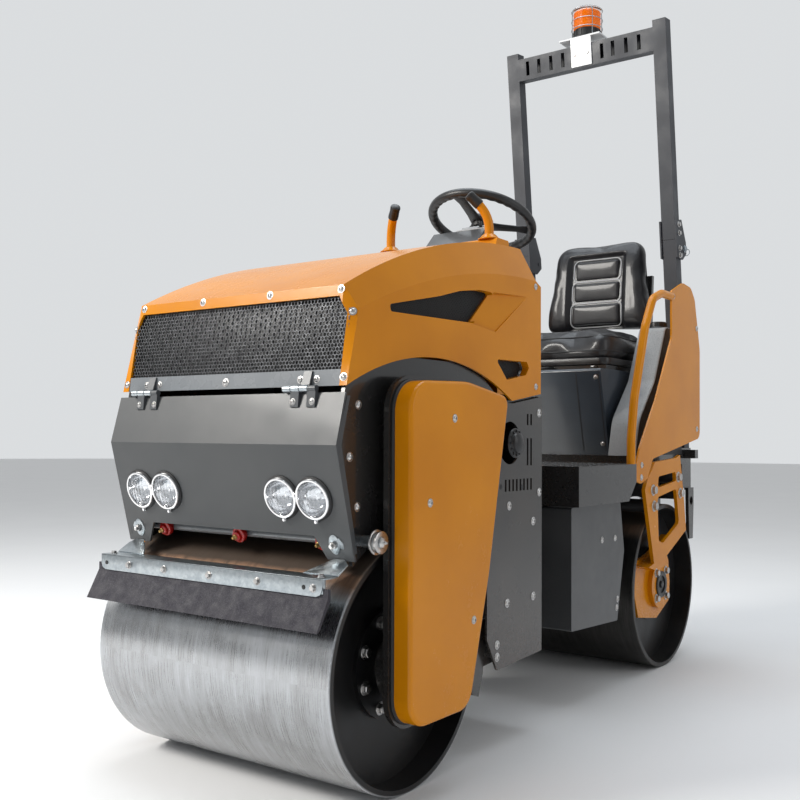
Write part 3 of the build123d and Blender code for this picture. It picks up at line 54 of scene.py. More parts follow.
DRUM_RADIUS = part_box("front_drum")[1][2] / 2
LEFT, RIGHT, FORWARD, BACK, UP, DOWN = (1, 0, 0), (-1, 0, 0), (0, -1, 0), (0, 1, 0), (0, 0, 1), (0, 0, -1)
bpy.context.view_layer.update()


# ---------------------------------------------------------------- shader helpers
class Reading:
    """A shader value; sums, differences and products of it add their Math nodes."""

    def __init__(self, finish, socket):
        self.finish, self.socket = finish, socket

    def math(self, operation, *others):
        return self.finish.node("ShaderNodeMath", {"operation": operation}, dict(enumerate((self, *others))))

    def __add__(self, other):
        return self.math("ADD", other)

    def __sub__(self, other):
        return self.math("SUBTRACT", other)

    def __rsub__(self, other):
        return self.finish.node("ShaderNodeMath", {"operation": "SUBTRACT"}, {0: other, 1: self})

    def __mul__(self, other):
        return self.math("MULTIPLY", other)

    def __gt__(self, other):
        return self.math("GREATER_THAN", other)

    __radd__ = __add__
    __rmul__ = __mul__


class Finish:
    """A material in the making: its main shader and the nodes that feed it."""

    def __init__(self, name, **sockets):
        self.material = bpy.data.materials.new(name)
        self.material.use_nodes = True
        self.nodes = self.material.node_tree.nodes
        self.shader = self.nodes["Principled BSDF"]
        self.place = self.node("ShaderNodeTexCoord", output="Object")
        self.set(**sockets)

    def feed(self, node, inputs):
        for key, value in inputs.items():
            if isinstance(value, Reading):
                self.material.node_tree.links.new(value.socket, node.inputs[key])
            else:
                node.inputs[key].default_value = value

    def set(self, **sockets):
        """Sets sockets of the main shader; Base_Color stands for Base Color."""
        self.feed(self.shader, {key.replace("_", " "): value for key, value in sockets.items()})

    def node(self, kind, settings=None, inputs=None, output=0):
        made = self.nodes.new(kind)
        for key, value in (settings or {}).items():
            if key == "stops":
                ramp = made.color_ramp
                while len(ramp.elements) < len(value):
                    ramp.elements.new(0.5)
                for element, (position, colour) in zip(ramp.elements, value):
                    element.position, element.color = position, colour
            else:
                setattr(made, key, value)
        self.feed(made, inputs or {})
        return Reading(self, made.outputs[output])

    def mix(self, share, first, second):
        return self.node("ShaderNodeMix", {"data_type": "RGBA"}, {0: share, 6: first, 7: second}, 2)

    def noise(self, scale, detail=3.0, at=None, rough=0.5):
        return self.node("ShaderNodeTexNoise", None,
                         {"Vector": at or self.place, "Scale": scale, "Detail": detail, "Roughness": rough})

    def cells(self, scale, at=None, feature="F1", output="Distance"):
        return self.node("ShaderNodeTexVoronoi", {"feature": feature}, {"Vector": at or self.place, "Scale": scale},
                         output)

    def part(self, axis, of=None):
        return self.node("ShaderNodeSeparateXYZ", None, {0: of or self.place}, axis)

    def joined(self, x, y, z):
        return self.node("ShaderNodeCombineXYZ", None, {0: x, 1: y, 2: z})

    def facing(self, axis):
        """Component of the surface's own direction."""
        return self.part(axis, self.node("ShaderNodeNewGeometry", output="Normal"))

    def spread(self, value, low, high, to_low=0.0, to_high=1.0):
        return self.node("ShaderNodeMapRange", None, {0: value, 1: low, 2: high, 3: to_low, 4: to_high})

    def relief(self, height, depth, strength=1.0, over=None):
        inputs = {"Strength": strength, "Distance": depth, "Height": height}
        if over:
            inputs["Normal"] = over
        return self.node("ShaderNodeBump", None, inputs)


def tint(red, green, blue):
    return (red, green, blue, 1.0)


# ---------------------------------------------------------------- finishes
def sprayed_paint(name, colour, shade, dust, gloss=(0.22, 0.4), coat=0.6, peel=0.00012, dust_share=0.35, ior=1.45):
    """Sprayed paint: slight clouds in its colour, orange peel, and dust in a film that is thicker low down."""
    finish = Finish(name, IOR=ior, Coat_Weight=coat, Coat_Roughness=0.1)
    clouds = finish.spread(finish.noise(5.0, 4.0), 0.35, 0.68)
    speck = finish.spread(finish.noise(150.0, 6.0, rough=0.7), 0.4, 0.65, 0.35, 1.0)
    broad = finish.spread(finish.noise(3.5, 3.0), 0.35, 0.65, 0.3, 1.0)
    low = finish.spread(finish.part("Z"), 0.1, 0.9, 0.7, 0.0)
    upward = finish.spread(finish.facing("Z"), 0.4, 1.0, 0.0, 0.6)
    film = (low + upward) * broad * speck
    finish.set(Base_Color=finish.mix(film * dust_share, finish.mix(clouds, colour, shade), dust),
               Roughness=finish.spread(finish.noise(22.0, 5.0) * 0.5 + film * 0.5, 0.2, 0.6, gloss[0], gloss[1]),
               Normal=finish.relief(finish.noise(330.0, 2.0) + finish.noise(40.0, 2.0) * 0.8, peel, 0.6))
    return finish.material


def textured_coat(name, colour, shade, grain=900.0, depth=0.0003, roughness=(0.36, 0.6), speck=0.25):
    """Powder coat with a fine, grainy surface and paler dust on what faces up."""
    finish = Finish(name, IOR=1.5)
    fine = finish.noise(grain, 3.0)
    clouds = finish.noise(9.0, 5.0)
    dusty = finish.spread(finish.facing("Z"), 0.3, 1.0, 0.0, 0.22) + finish.spread(clouds, 0.5, 0.8, 0.0, 0.25)
    body = finish.mix(finish.spread(fine, 0.55, 0.75, 0.0, speck), colour, shade)
    finish.set(Base_Color=finish.mix(dusty * 0.5, body, tint(0.22, 0.2, 0.18)),
               Roughness=finish.spread(clouds, 0.3, 0.7, *roughness),
               Normal=finish.relief(fine + finish.noise(grain / 3, 2.0) * 0.5, depth, 0.55))
    return finish.material


def rolled_steel(name, axle, bright, dull, dirt_and_shadow, dirt_and_shadow_share, gloss):
    """Rolling face rubbed bright in rings round the drum, with broad bands along its width that are painted reflection;
    dust on its top, darkened as painted shadow of the lamp panel above, with a paler lower strip that is painted
    sunlight; black paint inside.
    """
    finish = Finish(name)
    x, y, z = finish.part("X"), finish.part("Y") - axle, finish.part("Z") - DRUM_RADIUS
    radius = (y * y + z * z).math("SQRT")
    turn = z.math("ARCTAN2", y)
    rings = finish.noise(1.0, 5.0, finish.joined(x * 520.0, turn * 3.5, 0.0), 0.7)
    # Broad bands along the drum's width: painted reflection, light and dark stripes standing in for the reflections
    # across the steel.
    bands = finish.noise(1.0, 4.0, finish.joined(x * 45.0, turn * 1.2, 7.0), 0.6)
    specks = finish.noise(1.0, 3.0, finish.joined(x * 900.0, turn * 240.0, 3.0), 0.6)
    blotches = finish.noise(7.0, 6.0, rough=0.65)
    rim = finish.spread((x * x).math("SQRT"), 0.352, 0.362, 0.0, 0.5)
    outside = finish.spread(radius, DRUM_RADIUS - 0.0045, DRUM_RADIUS - 0.0005)
    # Rubbed steel mixes real worn rings and blotches with the broad bands, which are painted reflection.
    rubbed = finish.spread(rings * 0.45 + bands * 0.3 + blotches * 0.35 + rim * 0.1, 0.36, 0.72)
    steel = finish.mix(rubbed, dull, bright)
    # Top of the drum: real dust, darkened as painted shadow of the lamp panel over it.
    top = finish.spread(z + (blotches - 0.5) * 0.05, 0.17, 0.2, 0.0, dirt_and_shadow_share)
    # Paler tan strip low in the dust on top: painted sunlight on the dust.
    sunlit_dust_strip = finish.spread(z + (blotches - 0.5) * 0.02, 0.215, 0.222, 1.0, 0.0) * finish.spread(bands, 0.3, 0.5)
    dust_light_and_shadow = finish.mix(sunlit_dust_strip * 0.85, finish.mix(rings, dirt_and_shadow, tint(0.1, 0.068, 0.045)), tint(0.3, 0.17, 0.1))
    spots = finish.spread(specks * 0.5 + blotches * 0.5, 0.6, 0.72, 0.0, 0.5)
    soiled_and_shadowed = finish.mix(spots, finish.mix(top, steel, dust_light_and_shadow), tint(0.13, 0.1, 0.08))
    inner = finish.mix(finish.spread(blotches, 0.45, 0.75, 0.0, 0.45),
                       tint(0.005, 0.005, 0.0055), tint(0.026, 0.021, 0.018))
    rough = finish.spread(rings * 0.5 + blotches * 0.5, 0.3, 0.7, gloss[0], gloss[1]) + top * 0.25
    finish.set(Base_Color=finish.mix(outside, inner, soiled_and_shadowed),
               Metallic=outside * (1.0 - top * 0.45),
               Roughness=rough * outside + finish.spread(blotches, 0.3, 0.7, 0.3, 0.5) * (1.0 - outside),
               Normal=finish.relief(rings * 0.7 + specks * 0.5, 0.0003, 0.35))
    return finish.material


def plated(name, colour, dull, gloss=(0.22, 0.42), spangle=160.0):
    """Zinc or chrome plating with faint clouds and rubbed spots."""
    finish = Finish(name, Metallic=1.0)
    clouds = finish.noise(60.0, 5.0)
    flakes = finish.cells(spangle, output="Color")
    share = finish.spread(clouds * 0.7 + finish.part("X", flakes) * 0.3, 0.3, 0.75)
    finish.set(Base_Color=finish.mix(share, colour, dull), Roughness=finish.spread(clouds, 0.3, 0.72, *gloss),
               Normal=finish.relief(finish.noise(500.0, 2.0), 0.0001, 0.3))
    return finish.material


def moulded(name, colour, shade, gloss=(0.4, 0.55), grain=1100.0, depth=0.00022, **sockets):
    """Moulded plastic or rubber with a fine grain."""
    finish = Finish(name, IOR=1.48, **sockets)
    fine = finish.cells(grain)
    clouds = finish.noise(14.0, 4.0)
    finish.set(Base_Color=finish.mix(finish.spread(clouds, 0.35, 0.7), colour, shade),
               Roughness=finish.spread(clouds, 0.3, 0.7, *gloss), Normal=finish.relief(fine, depth, 0.45))
    return finish.material


def rubber_mat_finish():
    """Mat of bonded rubber crumbs."""
    finish = Finish("crumb_rubber", IOR=1.45)
    crumbs = finish.cells(620.0, output="Color")
    share = finish.spread(finish.part("X", crumbs), 0.6, 1.0, 0.0, 0.45)
    finish.set(Base_Color=finish.mix(share, tint(0.03, 0.028, 0.036), tint(0.085, 0.08, 0.1)),
               Roughness=finish.spread(finish.noise(50.0), 0.3, 0.7, 0.6, 0.85),
               Normal=finish.relief(finish.cells(420.0) + finish.noise(90.0, 4.0), 0.0007, 0.6))
    return finish.material


def vinyl_finish():
    """Glossy black seat vinyl with a leather grain and soft folds."""
    finish = Finish("seat_vinyl", IOR=1.42, Coat_Weight=0.25, Coat_Roughness=0.1)
    grain = finish.cells(520.0, at=finish.place, feature="DISTANCE_TO_EDGE")
    folds = finish.noise(26.0, 4.0, rough=0.6)
    finish.set(Base_Color=finish.mix(finish.spread(folds, 0.4, 0.7),
                                     tint(0.007, 0.007, 0.009), tint(0.014, 0.014, 0.016)),
               Roughness=finish.spread(finish.noise(60.0, 4.0), 0.3, 0.7, 0.3, 0.42),
               Normal=finish.relief(finish.spread(grain, 0.0, 0.12), 0.00035, 0.35,
                                    over=finish.relief(folds, 0.0015, 0.3)))
    return finish.material


def glass_finish(name, colour, roughness=0.02, flutes=0.0):
    finish = Finish(name, Base_Color=colour, Roughness=roughness, Transmission_Weight=1.0, IOR=1.45)
    if flutes:
        x, z = finish.part("X"), finish.part("Z")
        ribs = (x * (2 * math.pi / 0.011)).math("SINE") + (z * (2 * math.pi / 0.014)).math("SINE") * 0.8
        finish.set(Normal=finish.relief(ribs, flutes, 0.7))
    return finish.material


def amber_finish():
    """Clear amber plastic with a faint uneven surface."""
    finish = Finish("amber_lens", Roughness=0.12, IOR=1.49, Transmission_Weight=0.45,
                    Emission_Strength=0.12, Emission_Color=tint(0.95, 0.25, 0.01))
    clouds = finish.noise(30.0, 2.0)
    finish.set(Base_Color=finish.mix(clouds, tint(0.95, 0.27, 0.01), tint(0.8, 0.15, 0.004)),
               Normal=finish.relief(finish.noise(160.0, 2.0), 0.0002, 0.3))
    return finish.material


def tank_finish():
    """Grained grey plastic with a black flank."""
    finish = Finish("tank_plastic", IOR=1.48)
    fine = finish.noise(420.0, 3.0)
    side = finish.facing("X").math("ABSOLUTE") > 0.8
    clouds = finish.noise(12.0, 4.0)
    grey = finish.mix(finish.spread(fine, 0.5, 0.7, 0.0, 0.8), tint(0.27, 0.28, 0.285), tint(0.13, 0.135, 0.14))
    finish.set(Base_Color=finish.mix(side, grey, tint(0.018, 0.018, 0.019)),
               Roughness=finish.spread(clouds, 0.3, 0.7, 0.42, 0.62), Normal=finish.relief(fine, 0.0006, 0.5))
    return finish.material


def floor_finish():
    finish = Finish("studio_floor", IOR=1.3)
    finish.set(Base_Color=finish.mix(finish.noise(1.5, 4.0), tint(0.86, 0.86, 0.86), tint(0.82, 0.82, 0.825)),
               Roughness=finish.spread(finish.noise(3.0, 3.0), 0.3, 0.7, 0.6, 0.72))
    return finish.material


YELLOW = sprayed_paint("golden_yellow_paint", tint(0.64, 0.23, 0.0012), tint(0.57, 0.196, 0.001), tint(0.5, 0.3, 0.1),
                       gloss=(0.2, 0.34), coat=0.1, dust_share=0.05, ior=1.3)
BLACK = sprayed_paint("gloss_black_paint", tint(0.014, 0.014, 0.015), tint(0.02, 0.019, 0.018),
                      tint(0.16, 0.13, 0.1), dust_share=0.3)
STRIP = sprayed_paint("strip_grey_paint", tint(0.17, 0.185, 0.2), tint(0.2, 0.212, 0.225), tint(0.3, 0.28, 0.25),
                      gloss=(0.25, 0.4), dust_share=0.15)
PANEL = sprayed_paint("panel_grey_paint", tint(0.047, 0.051, 0.055), tint(0.057, 0.06, 0.063),
                      tint(0.2, 0.19, 0.17), gloss=(0.42, 0.55), coat=0.12, dust_share=0.12)
CHARCOAL = sprayed_paint("charcoal_paint", tint(0.04, 0.042, 0.045), tint(0.055, 0.056, 0.058),
                         tint(0.2, 0.18, 0.16), gloss=(0.3, 0.48), coat=0.25, dust_share=0.3)
PLATE_BLACK = sprayed_paint("side_plate_paint", tint(0.022, 0.021, 0.021), tint(0.04, 0.034, 0.03),
                            tint(0.2, 0.15, 0.12), gloss=(0.2, 0.36), coat=0.5, dust_share=0.35)
HINGE_LEAF = sprayed_paint("leaf_grey_paint", tint(0.07, 0.076, 0.083), tint(0.085, 0.09, 0.096), tint(0.2, 0.19, 0.17),
                           gloss=(0.4, 0.52), coat=0.12, dust_share=0.12)
SLATE = sprayed_paint("slate_blue_paint", tint(0.022, 0.031, 0.043), tint(0.034, 0.046, 0.062),
                      tint(0.25, 0.23, 0.2), gloss=(0.3, 0.45), coat=0.3, dust_share=0.25)
WHITE = sprayed_paint("white_paint", tint(0.72, 0.73, 0.73), tint(0.62, 0.63, 0.64), tint(0.4, 0.37, 0.33),
                      gloss=(0.3, 0.42), coat=0.2)
ROPS = textured_coat("textured_grey_coat", tint(0.024, 0.027, 0.035), tint(0.06, 0.066, 0.08))
CASTING = textured_coat("casting_grey_coat", tint(0.04, 0.041, 0.044), tint(0.07, 0.07, 0.07),
                        grain=350.0, depth=0.0008)
MESH_GREY = plated("mesh_web", tint(0.085, 0.088, 0.094), tint(0.035, 0.036, 0.039), gloss=(0.4, 0.55))
MESH_DARK = textured_coat("dark_mesh", tint(0.012, 0.012, 0.013), tint(0.05, 0.05, 0.05))
# The front drum's top colour is a very dark brown: dust darkened as painted shadow of the lamp panel.
FRONT_DRUM = rolled_steel("front_drum_steel", FRONT_AXLE, tint(0.56, 0.58, 0.61), tint(0.24, 0.235, 0.23),
                          tint(0.06, 0.036, 0.022), 0.95, (0.2, 0.36))
# The rear drum's steel is set far darker than the front drum's: painted shade for the drum standing in shadow under the
# machine.
REAR_DRUM = rolled_steel("rear_drum_steel", REAR_AXLE, tint(0.13, 0.125, 0.12), tint(0.035, 0.034, 0.033),
                         tint(0.16, 0.12, 0.08), 0.6, (0.3, 0.5))
ZINC = plated("zinc_plate", tint(0.47, 0.51, 0.53), tint(0.34, 0.38, 0.41), gloss=(0.28, 0.4))
BOLT_STEEL = plated("bolt_steel", tint(0.62, 0.61, 0.6), tint(0.42, 0.41, 0.4), gloss=(0.25, 0.4))
CHROME = plated("lamp_chrome", tint(0.88, 0.88, 0.89), tint(0.75, 0.75, 0.76), gloss=(0.05, 0.14))
BRASS = plated("brass", tint(0.72, 0.5, 0.2), tint(0.5, 0.33, 0.12))
ROD = plated("bright_rod", tint(0.78, 0.78, 0.79), tint(0.66, 0.66, 0.67), gloss=(0.08, 0.2))
ENGINE = moulded("cast_engine", tint(0.12, 0.125, 0.13), tint(0.08, 0.083, 0.088),
                 grain=300.0, depth=0.0008, Metallic=0.6)
RUBBER = moulded("black_rubber", tint(0.012, 0.012, 0.013), tint(0.022, 0.022, 0.024), gloss=(0.45, 0.65))
PLASTIC = moulded("black_plastic", tint(0.012, 0.012, 0.013), tint(0.02, 0.02, 0.021), gloss=(0.28, 0.42))
GREY_PLASTIC = moulded("grey_plastic", tint(0.4, 0.41, 0.42), tint(0.33, 0.34, 0.35))
RED = moulded("red_plastic", tint(0.55, 0.012, 0.01), tint(0.42, 0.01, 0.008), gloss=(0.2, 0.32), Coat_Weight=0.4)
PIPING = moulded("piping_grey", tint(0.42, 0.43, 0.44), tint(0.34, 0.35, 0.36), gloss=(0.35, 0.5))
MAT = rubber_mat_finish()
VINYL = vinyl_finish()
AMBER = amber_finish()
TANK = tank_finish()
LAMP_GLASS = glass_finish("lamp_glass", tint(0.96, 0.98, 1.0), 0.02, flutes=0.0004)
CLEAR = glass_finish("clear_plastic", tint(0.95, 0.95, 0.95), 0.08)

NODE_FINISHES = {
    YELLOW: ("hood_shell", "drive_covers", "dash_console", "travel_levers", "rear_fenders", "handrails", "rear_forks"),
    BLACK: ("front_frame", "drum_legs", "drum_wiper", "rear_scraper", "seat_frame", "steering_column",
            "cylinder_barrel", "rear_chassis", "deck"),
    PANEL: ("lamp_panel",),
    STRIP: ("hinge_strip", "spray_bar"),
    CHARCOAL: ("step_boxes", "instrument_box"),
    PLATE_BLACK: ("side_grilles",),
    SLATE: ("seat_pedestal",),
    WHITE: ("beacon_bracket",),
    ROPS: ("rollbar_posts", "rollbar_hoop"),
    CASTING: ("centre_link",),
    MESH_GREY: ("hood_grille",),
    MESH_DARK: ("hood_side_meshes",),
    FRONT_DRUM: ("front_drum",),
    REAR_DRUM: ("rear_drum",),
    ZINC: ("front_scraper", "frame_pins"),
    HINGE_LEAF: ("panel_hinge_leaves", "hood_hinge_leaves"),
    CHROME: ("headlamps",),
    ROD: ("cylinder_rod",),
    ENGINE: ("engine_block",),
    RUBBER: ("leg_buffers", "fork_buffers"),
    PLASTIC: ("intake_caps", "lever_grips", "steering_wheel", "beacon_base"),
    MAT: ("scraper_mat",),
    RED: ("spray_nozzles",),
    LAMP_GLASS: ("lamp_lenses",),
    AMBER: ("beacon_lens",),
    VINYL: ("seat_cushion", "seat_back"),
    TANK: ("side_tanks",),
}
for finish_material, names in NODE_FINISHES.items():
    for node_name in names:
        for material_slot in NODES[node_name].material_slots:
            material_slot.material = finish_material


# ---------------------------------------------------------------- camera, lights and floor
CAMERA_PLACE = (1.6495, -2.6043, 0.7933)
CAMERA_TURN = (35.886, 2.060, 0.387)     # yaw, pitch and roll in degrees
CAMERA_LENS, CAMERA_SENSOR = 44.55, 36.0
SKY_DIM, SKY_PALE = 0.44, 0.74           # strength on the lights' side and behind the roller


def set_camera():
    yaw, pitch, roll = (math.radians(angle) for angle in CAMERA_TURN)
    ahead = Vector((-math.sin(yaw) * math.cos(pitch), math.cos(yaw) * math.cos(pitch), math.sin(pitch)))
    level = ahead.cross(Vector(UP)).normalized()
    upright = level.cross(ahead)
    right = math.cos(roll) * level + math.sin(roll) * upright
    top = math.cos(roll) * upright - math.sin(roll) * level
    bpy.ops.object.camera_add()
    camera = bpy.context.object
    camera.name = "studio_camera"
    camera.data.sensor_width = CAMERA_SENSOR
    camera.data.lens = CAMERA_LENS
    camera.matrix_world = (Matrix.Translation(CAMERA_PLACE)
                           @ Matrix((right, top, -ahead)).transposed().to_4x4())
    bpy.context.scene.camera = camera


def soft_light(name, place, aim, size, watts, colour=(1, 1, 1)):
    bpy.ops.object.light_add(type="AREA", location=place)
    light = bpy.context.object
    light.name = name
    light.data.shape = "RECTANGLE"
    light.data.size, light.data.size_y = size
    light.data.energy, light.data.color = watts, colour
    light.rotation_euler = (Vector(aim) - Vector(place)).to_track_quat("-Z", "Y").to_euler()


def set_studio():
    """Pale backdrop behind the roller, a dimmer room on the side that the lights stand on."""
    world = bpy.data.worlds.new("studio")
    world.use_nodes = True
    nodes, links = world.node_tree.nodes, world.node_tree.links
    place, facing, level = (nodes.new("ShaderNode" + kind) for kind in ("TexCoord", "VectorMath", "MapRange"))
    facing.operation, facing.inputs[1].default_value = "DOT_PRODUCT", (-0.55, 0.77, 0.32)
    level.interpolation_type = "SMOOTHSTEP"
    for socket, value in (("From Min", 0.1), ("From Max", 0.85), ("To Min", SKY_DIM), ("To Max", SKY_PALE)):
        level.inputs[socket].default_value = value
    links.new(place.outputs["Generated"], facing.inputs[0])
    links.new(facing.outputs["Value"], level.inputs["Value"])
    links.new(level.outputs[0], nodes["Background"].inputs[1])
    nodes["Background"].inputs[0].default_value = tint(0.955, 0.98, 1.0)
    bpy.context.scene.world = world
    bpy.context.scene.view_settings.view_transform = "Standard"
    soft_light("key_light", (-2.6, -3.8, 3.2), (0.0, -0.5, 0.7), (1.7, 1.3), 215.0, (1.0, 0.97, 0.92))
    soft_light("top_light", (-0.4, 0.2, 4.6), (0.0, 0.0, 0.8), (3.2, 3.2), 110.0, (0.86, 0.93, 1.0))
    soft_light("side_light", (4.2, 0.6, 2.2), (0.3, 0.1, 0.7), (1.6, 2.6), 22.0)
    bpy.ops.mesh.primitive_circle_add(vertices=96, radius=30.0, fill_type="NGON")
    floor = bpy.context.object
    floor.name = "studio_floor"
    floor.data.materials.append(floor_finish())


set_camera()
set_studio()


# ---------------------------------------------------------------- bench tools
def at(x, y, z):
    """Point in metres, from millimetres counted from the ground under the front drum's axle."""
    return Vector((x * MM, FRONT_AXLE + y * MM, z * MM))


def only(*objects):
    bpy.ops.object.select_all(action="DESELECT")
    for item in objects:
        item.select_set(True)
    bpy.context.view_layer.objects.active = objects[0]


def worked(piece, *steps):
    """Carries out edit-mode steps on the whole piece."""
    only(piece)
    bpy.ops.object.mode_set(mode="EDIT")
    bpy.ops.mesh.select_all(action="SELECT")
    for step in steps:
        step()
    bpy.ops.object.mode_set(mode="OBJECT")
    return piece


def closed_up():
    bpy.ops.mesh.select_all(action="SELECT")
    bpy.ops.mesh.remove_doubles(threshold=0.00001)
    bpy.ops.mesh.delete_loose()
    bpy.ops.mesh.select_all(action="SELECT")
    bpy.ops.mesh.normals_make_consistent(inside=False)


def modified(piece, kind, **settings):
    only(piece)
    modifier = piece.modifiers.new(kind.lower(), kind)
    for key, value in settings.items():
        setattr(modifier, key, value)
    bpy.ops.object.modifier_apply(modifier=modifier.name)
    return piece


def bevelled(piece, width, segments=2, angle=30):
    return modified(piece, "BEVEL", width=width * MM, segments=segments, limit_method="ANGLE",
                    angle_limit=math.radians(angle))


def outline(points, fill="NGON"):
    """A face or an open ring whose corners are the given points."""
    bpy.ops.object.select_all(action="DESELECT")
    bpy.ops.mesh.primitive_circle_add(vertices=len(points), fill_type=fill)
    piece = bpy.context.object
    for vertex, point in zip(piece.data.vertices, points):
        vertex.co = point
    return piece


def plate(points, push, edge=0.0, segments=2):
    """Plate of an outline pushed along a vector in millimetres, its edges bevelled."""
    piece = outline(points)
    worked(piece, lambda: bpy.ops.mesh.extrude_region_move(
        TRANSFORM_OT_translate={"value": tuple(Vector(push) * MM)}), closed_up)
    return bevelled(piece, edge, segments) if edge else piece


def brick(low, high, edge=2.0, segments=2):
    """Block between two corners in millimetres, its edges rounded."""
    low, high = at(*low), at(*high)
    bpy.ops.object.select_all(action="DESELECT")
    bpy.ops.mesh.primitive_cube_add(size=1.0, location=(low + high) / 2, scale=high - low)
    piece = bpy.context.object
    bpy.ops.object.transform_apply(location=True, rotation=True, scale=True)
    return bevelled(piece, edge, segments)


def turned(profile, steps=24):
    """Ring of a profile (radius, height) in millimetres, spun round the Z axis."""
    piece = outline([(radius * MM, 0.0, height * MM) for radius, height in profile], "NOTHING")
    return worked(piece, lambda: bpy.ops.mesh.spin(steps=steps, angle=2 * math.pi, center=(0, 0, 0), axis=(0, 0, 1)),
                  closed_up)


def set_on(piece, point, way=UP, roll=0.0):
    """Stands the piece on a point with its Z axis along a direction, place applied."""
    stand = Vector(way).to_track_quat("Z", "Y").to_matrix().to_4x4()
    piece.data.transform(Matrix.Translation(point) @ stand @ Matrix.Rotation(roll, 4, "Z"))
    return piece


def copied(piece, matrix=None):
    twin = piece.copy()
    twin.data = piece.data.copy()
    bpy.context.collection.objects.link(twin)
    if matrix is not None:
        twin.data.transform(matrix)
    return twin


def flipped(piece):
    """Mirror image of the piece across the machine's centre plane."""
    twin = copied(piece, Matrix.Scale(-1, 4, Vector(LEFT)))
    twin.data.flip_normals()
    return twin


def together(*pieces):
    only(*pieces)
    if len(pieces) > 1:
        bpy.ops.object.join()
    return bpy.context.object


def coated(piece, material):
    piece.data.materials.clear()
    piece.data.materials.append(material)
    return piece


def spots(model, places, roll=0.3):
    """Copies of a model set on each (point, direction), joined into one mesh; the model goes."""
    made = [set_on(copied(model), point, way, roll * index) for index, (point, way) in enumerate(places)]
    bpy.data.objects.remove(model)
    return together(*made)


def landed(node, x, y, z, way):
    """Where a line from a point meets a CAD node, and the direction that its surface faces."""
    hit, point, normal, _ = NODES[node].ray_cast(at(x, y, z) - Vector(way) * 0.3, Vector(way))
    if not hit:
        raise ValueError(f"nothing of {node} at {x} {y} {z}")
    return point, normal


def landed_sides(node, pairs, reach=500):
    """Landing spots on both flanks for each (y, z)."""
    return ([landed(node, reach, y, z, RIGHT) for y, z in pairs]
            + [landed(node, -reach, y, z, LEFT) for y, z in pairs])


def tube(points, radius, closed=False, sides=10, smooth=3):
    """Round tube along a smooth line through points in metres."""
    curve = bpy.data.curves.new("tube", "CURVE")
    curve.dimensions = "3D"
    curve.bevel_depth, curve.bevel_resolution = radius * MM, max(sides // 4, 1)
    curve.use_fill_caps = not closed
    spline = curve.splines.new("NURBS")
    spline.points.add(len(points) - 1)
    for knot, point in zip(spline.points, points):
        knot.co = (*point, 1.0)
    spline.use_cyclic_u, spline.use_endpoint_u = closed, not closed
    spline.order_u, spline.resolution_u = smooth, 6
    piece = bpy.data.objects.new("tube", curve)
    bpy.context.collection.objects.link(piece)
    only(piece)
    bpy.ops.object.convert(target="MESH")
    return worked(bpy.context.object, closed_up)


def settled(piece, name, body, slot, *stands_for, angle=35):
    """Names the finished piece, smooths its round faces, hangs it on its body and hides the CAD parts that it stands
    for; its slot is not used.
    """
    piece.name = name
    only(piece)
    bpy.ops.object.shade_smooth_by_angle(angle=math.radians(angle))
    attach(piece, body)
    if stands_for:
        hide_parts(*stands_for)
    return piece


def finished(pieces, material, name, body, slot, *stands_for, angle=35):
    """Joins the pieces, gives them their material and settles them as one."""
    return settled(coated(together(*pieces), material), name, body, slot, *stands_for, angle=angle)


def hex_bolt(size, height=None, washer=True):
    """Hexagon head on a washer; size is half its width across corners."""
    height = height or size * 0.75
    head = turned([(0, 0), (size, 0), (size, height * 0.82), (size * 0.86, height), (0, height)], 6)
    if not washer:
        return head
    base = size * 0.18
    head.data.transform(Matrix.Translation((0, 0, base * MM)))
    ring = turned([(0, -0.3), (size * 1.35, -0.3), (size * 1.35, base * 0.7), (size * 1.28, base), (0, base)], 20)
    return together(head, ring)


def socket_screw(radius, height=None):
    """Domed screw head with a round recess, on a thin washer."""
    height = height or radius * 0.62
    return turned([(0, height * 0.45), (radius * 0.34, height * 0.45), (radius * 0.38, height * 0.96),
                   (radius * 0.66, height * 0.88), (radius * 0.92, height * 0.5), (radius, height * 0.18),
                   (radius * 1.3, height * 0.15), (radius * 1.3, -0.3), (0, -0.3)], 20)


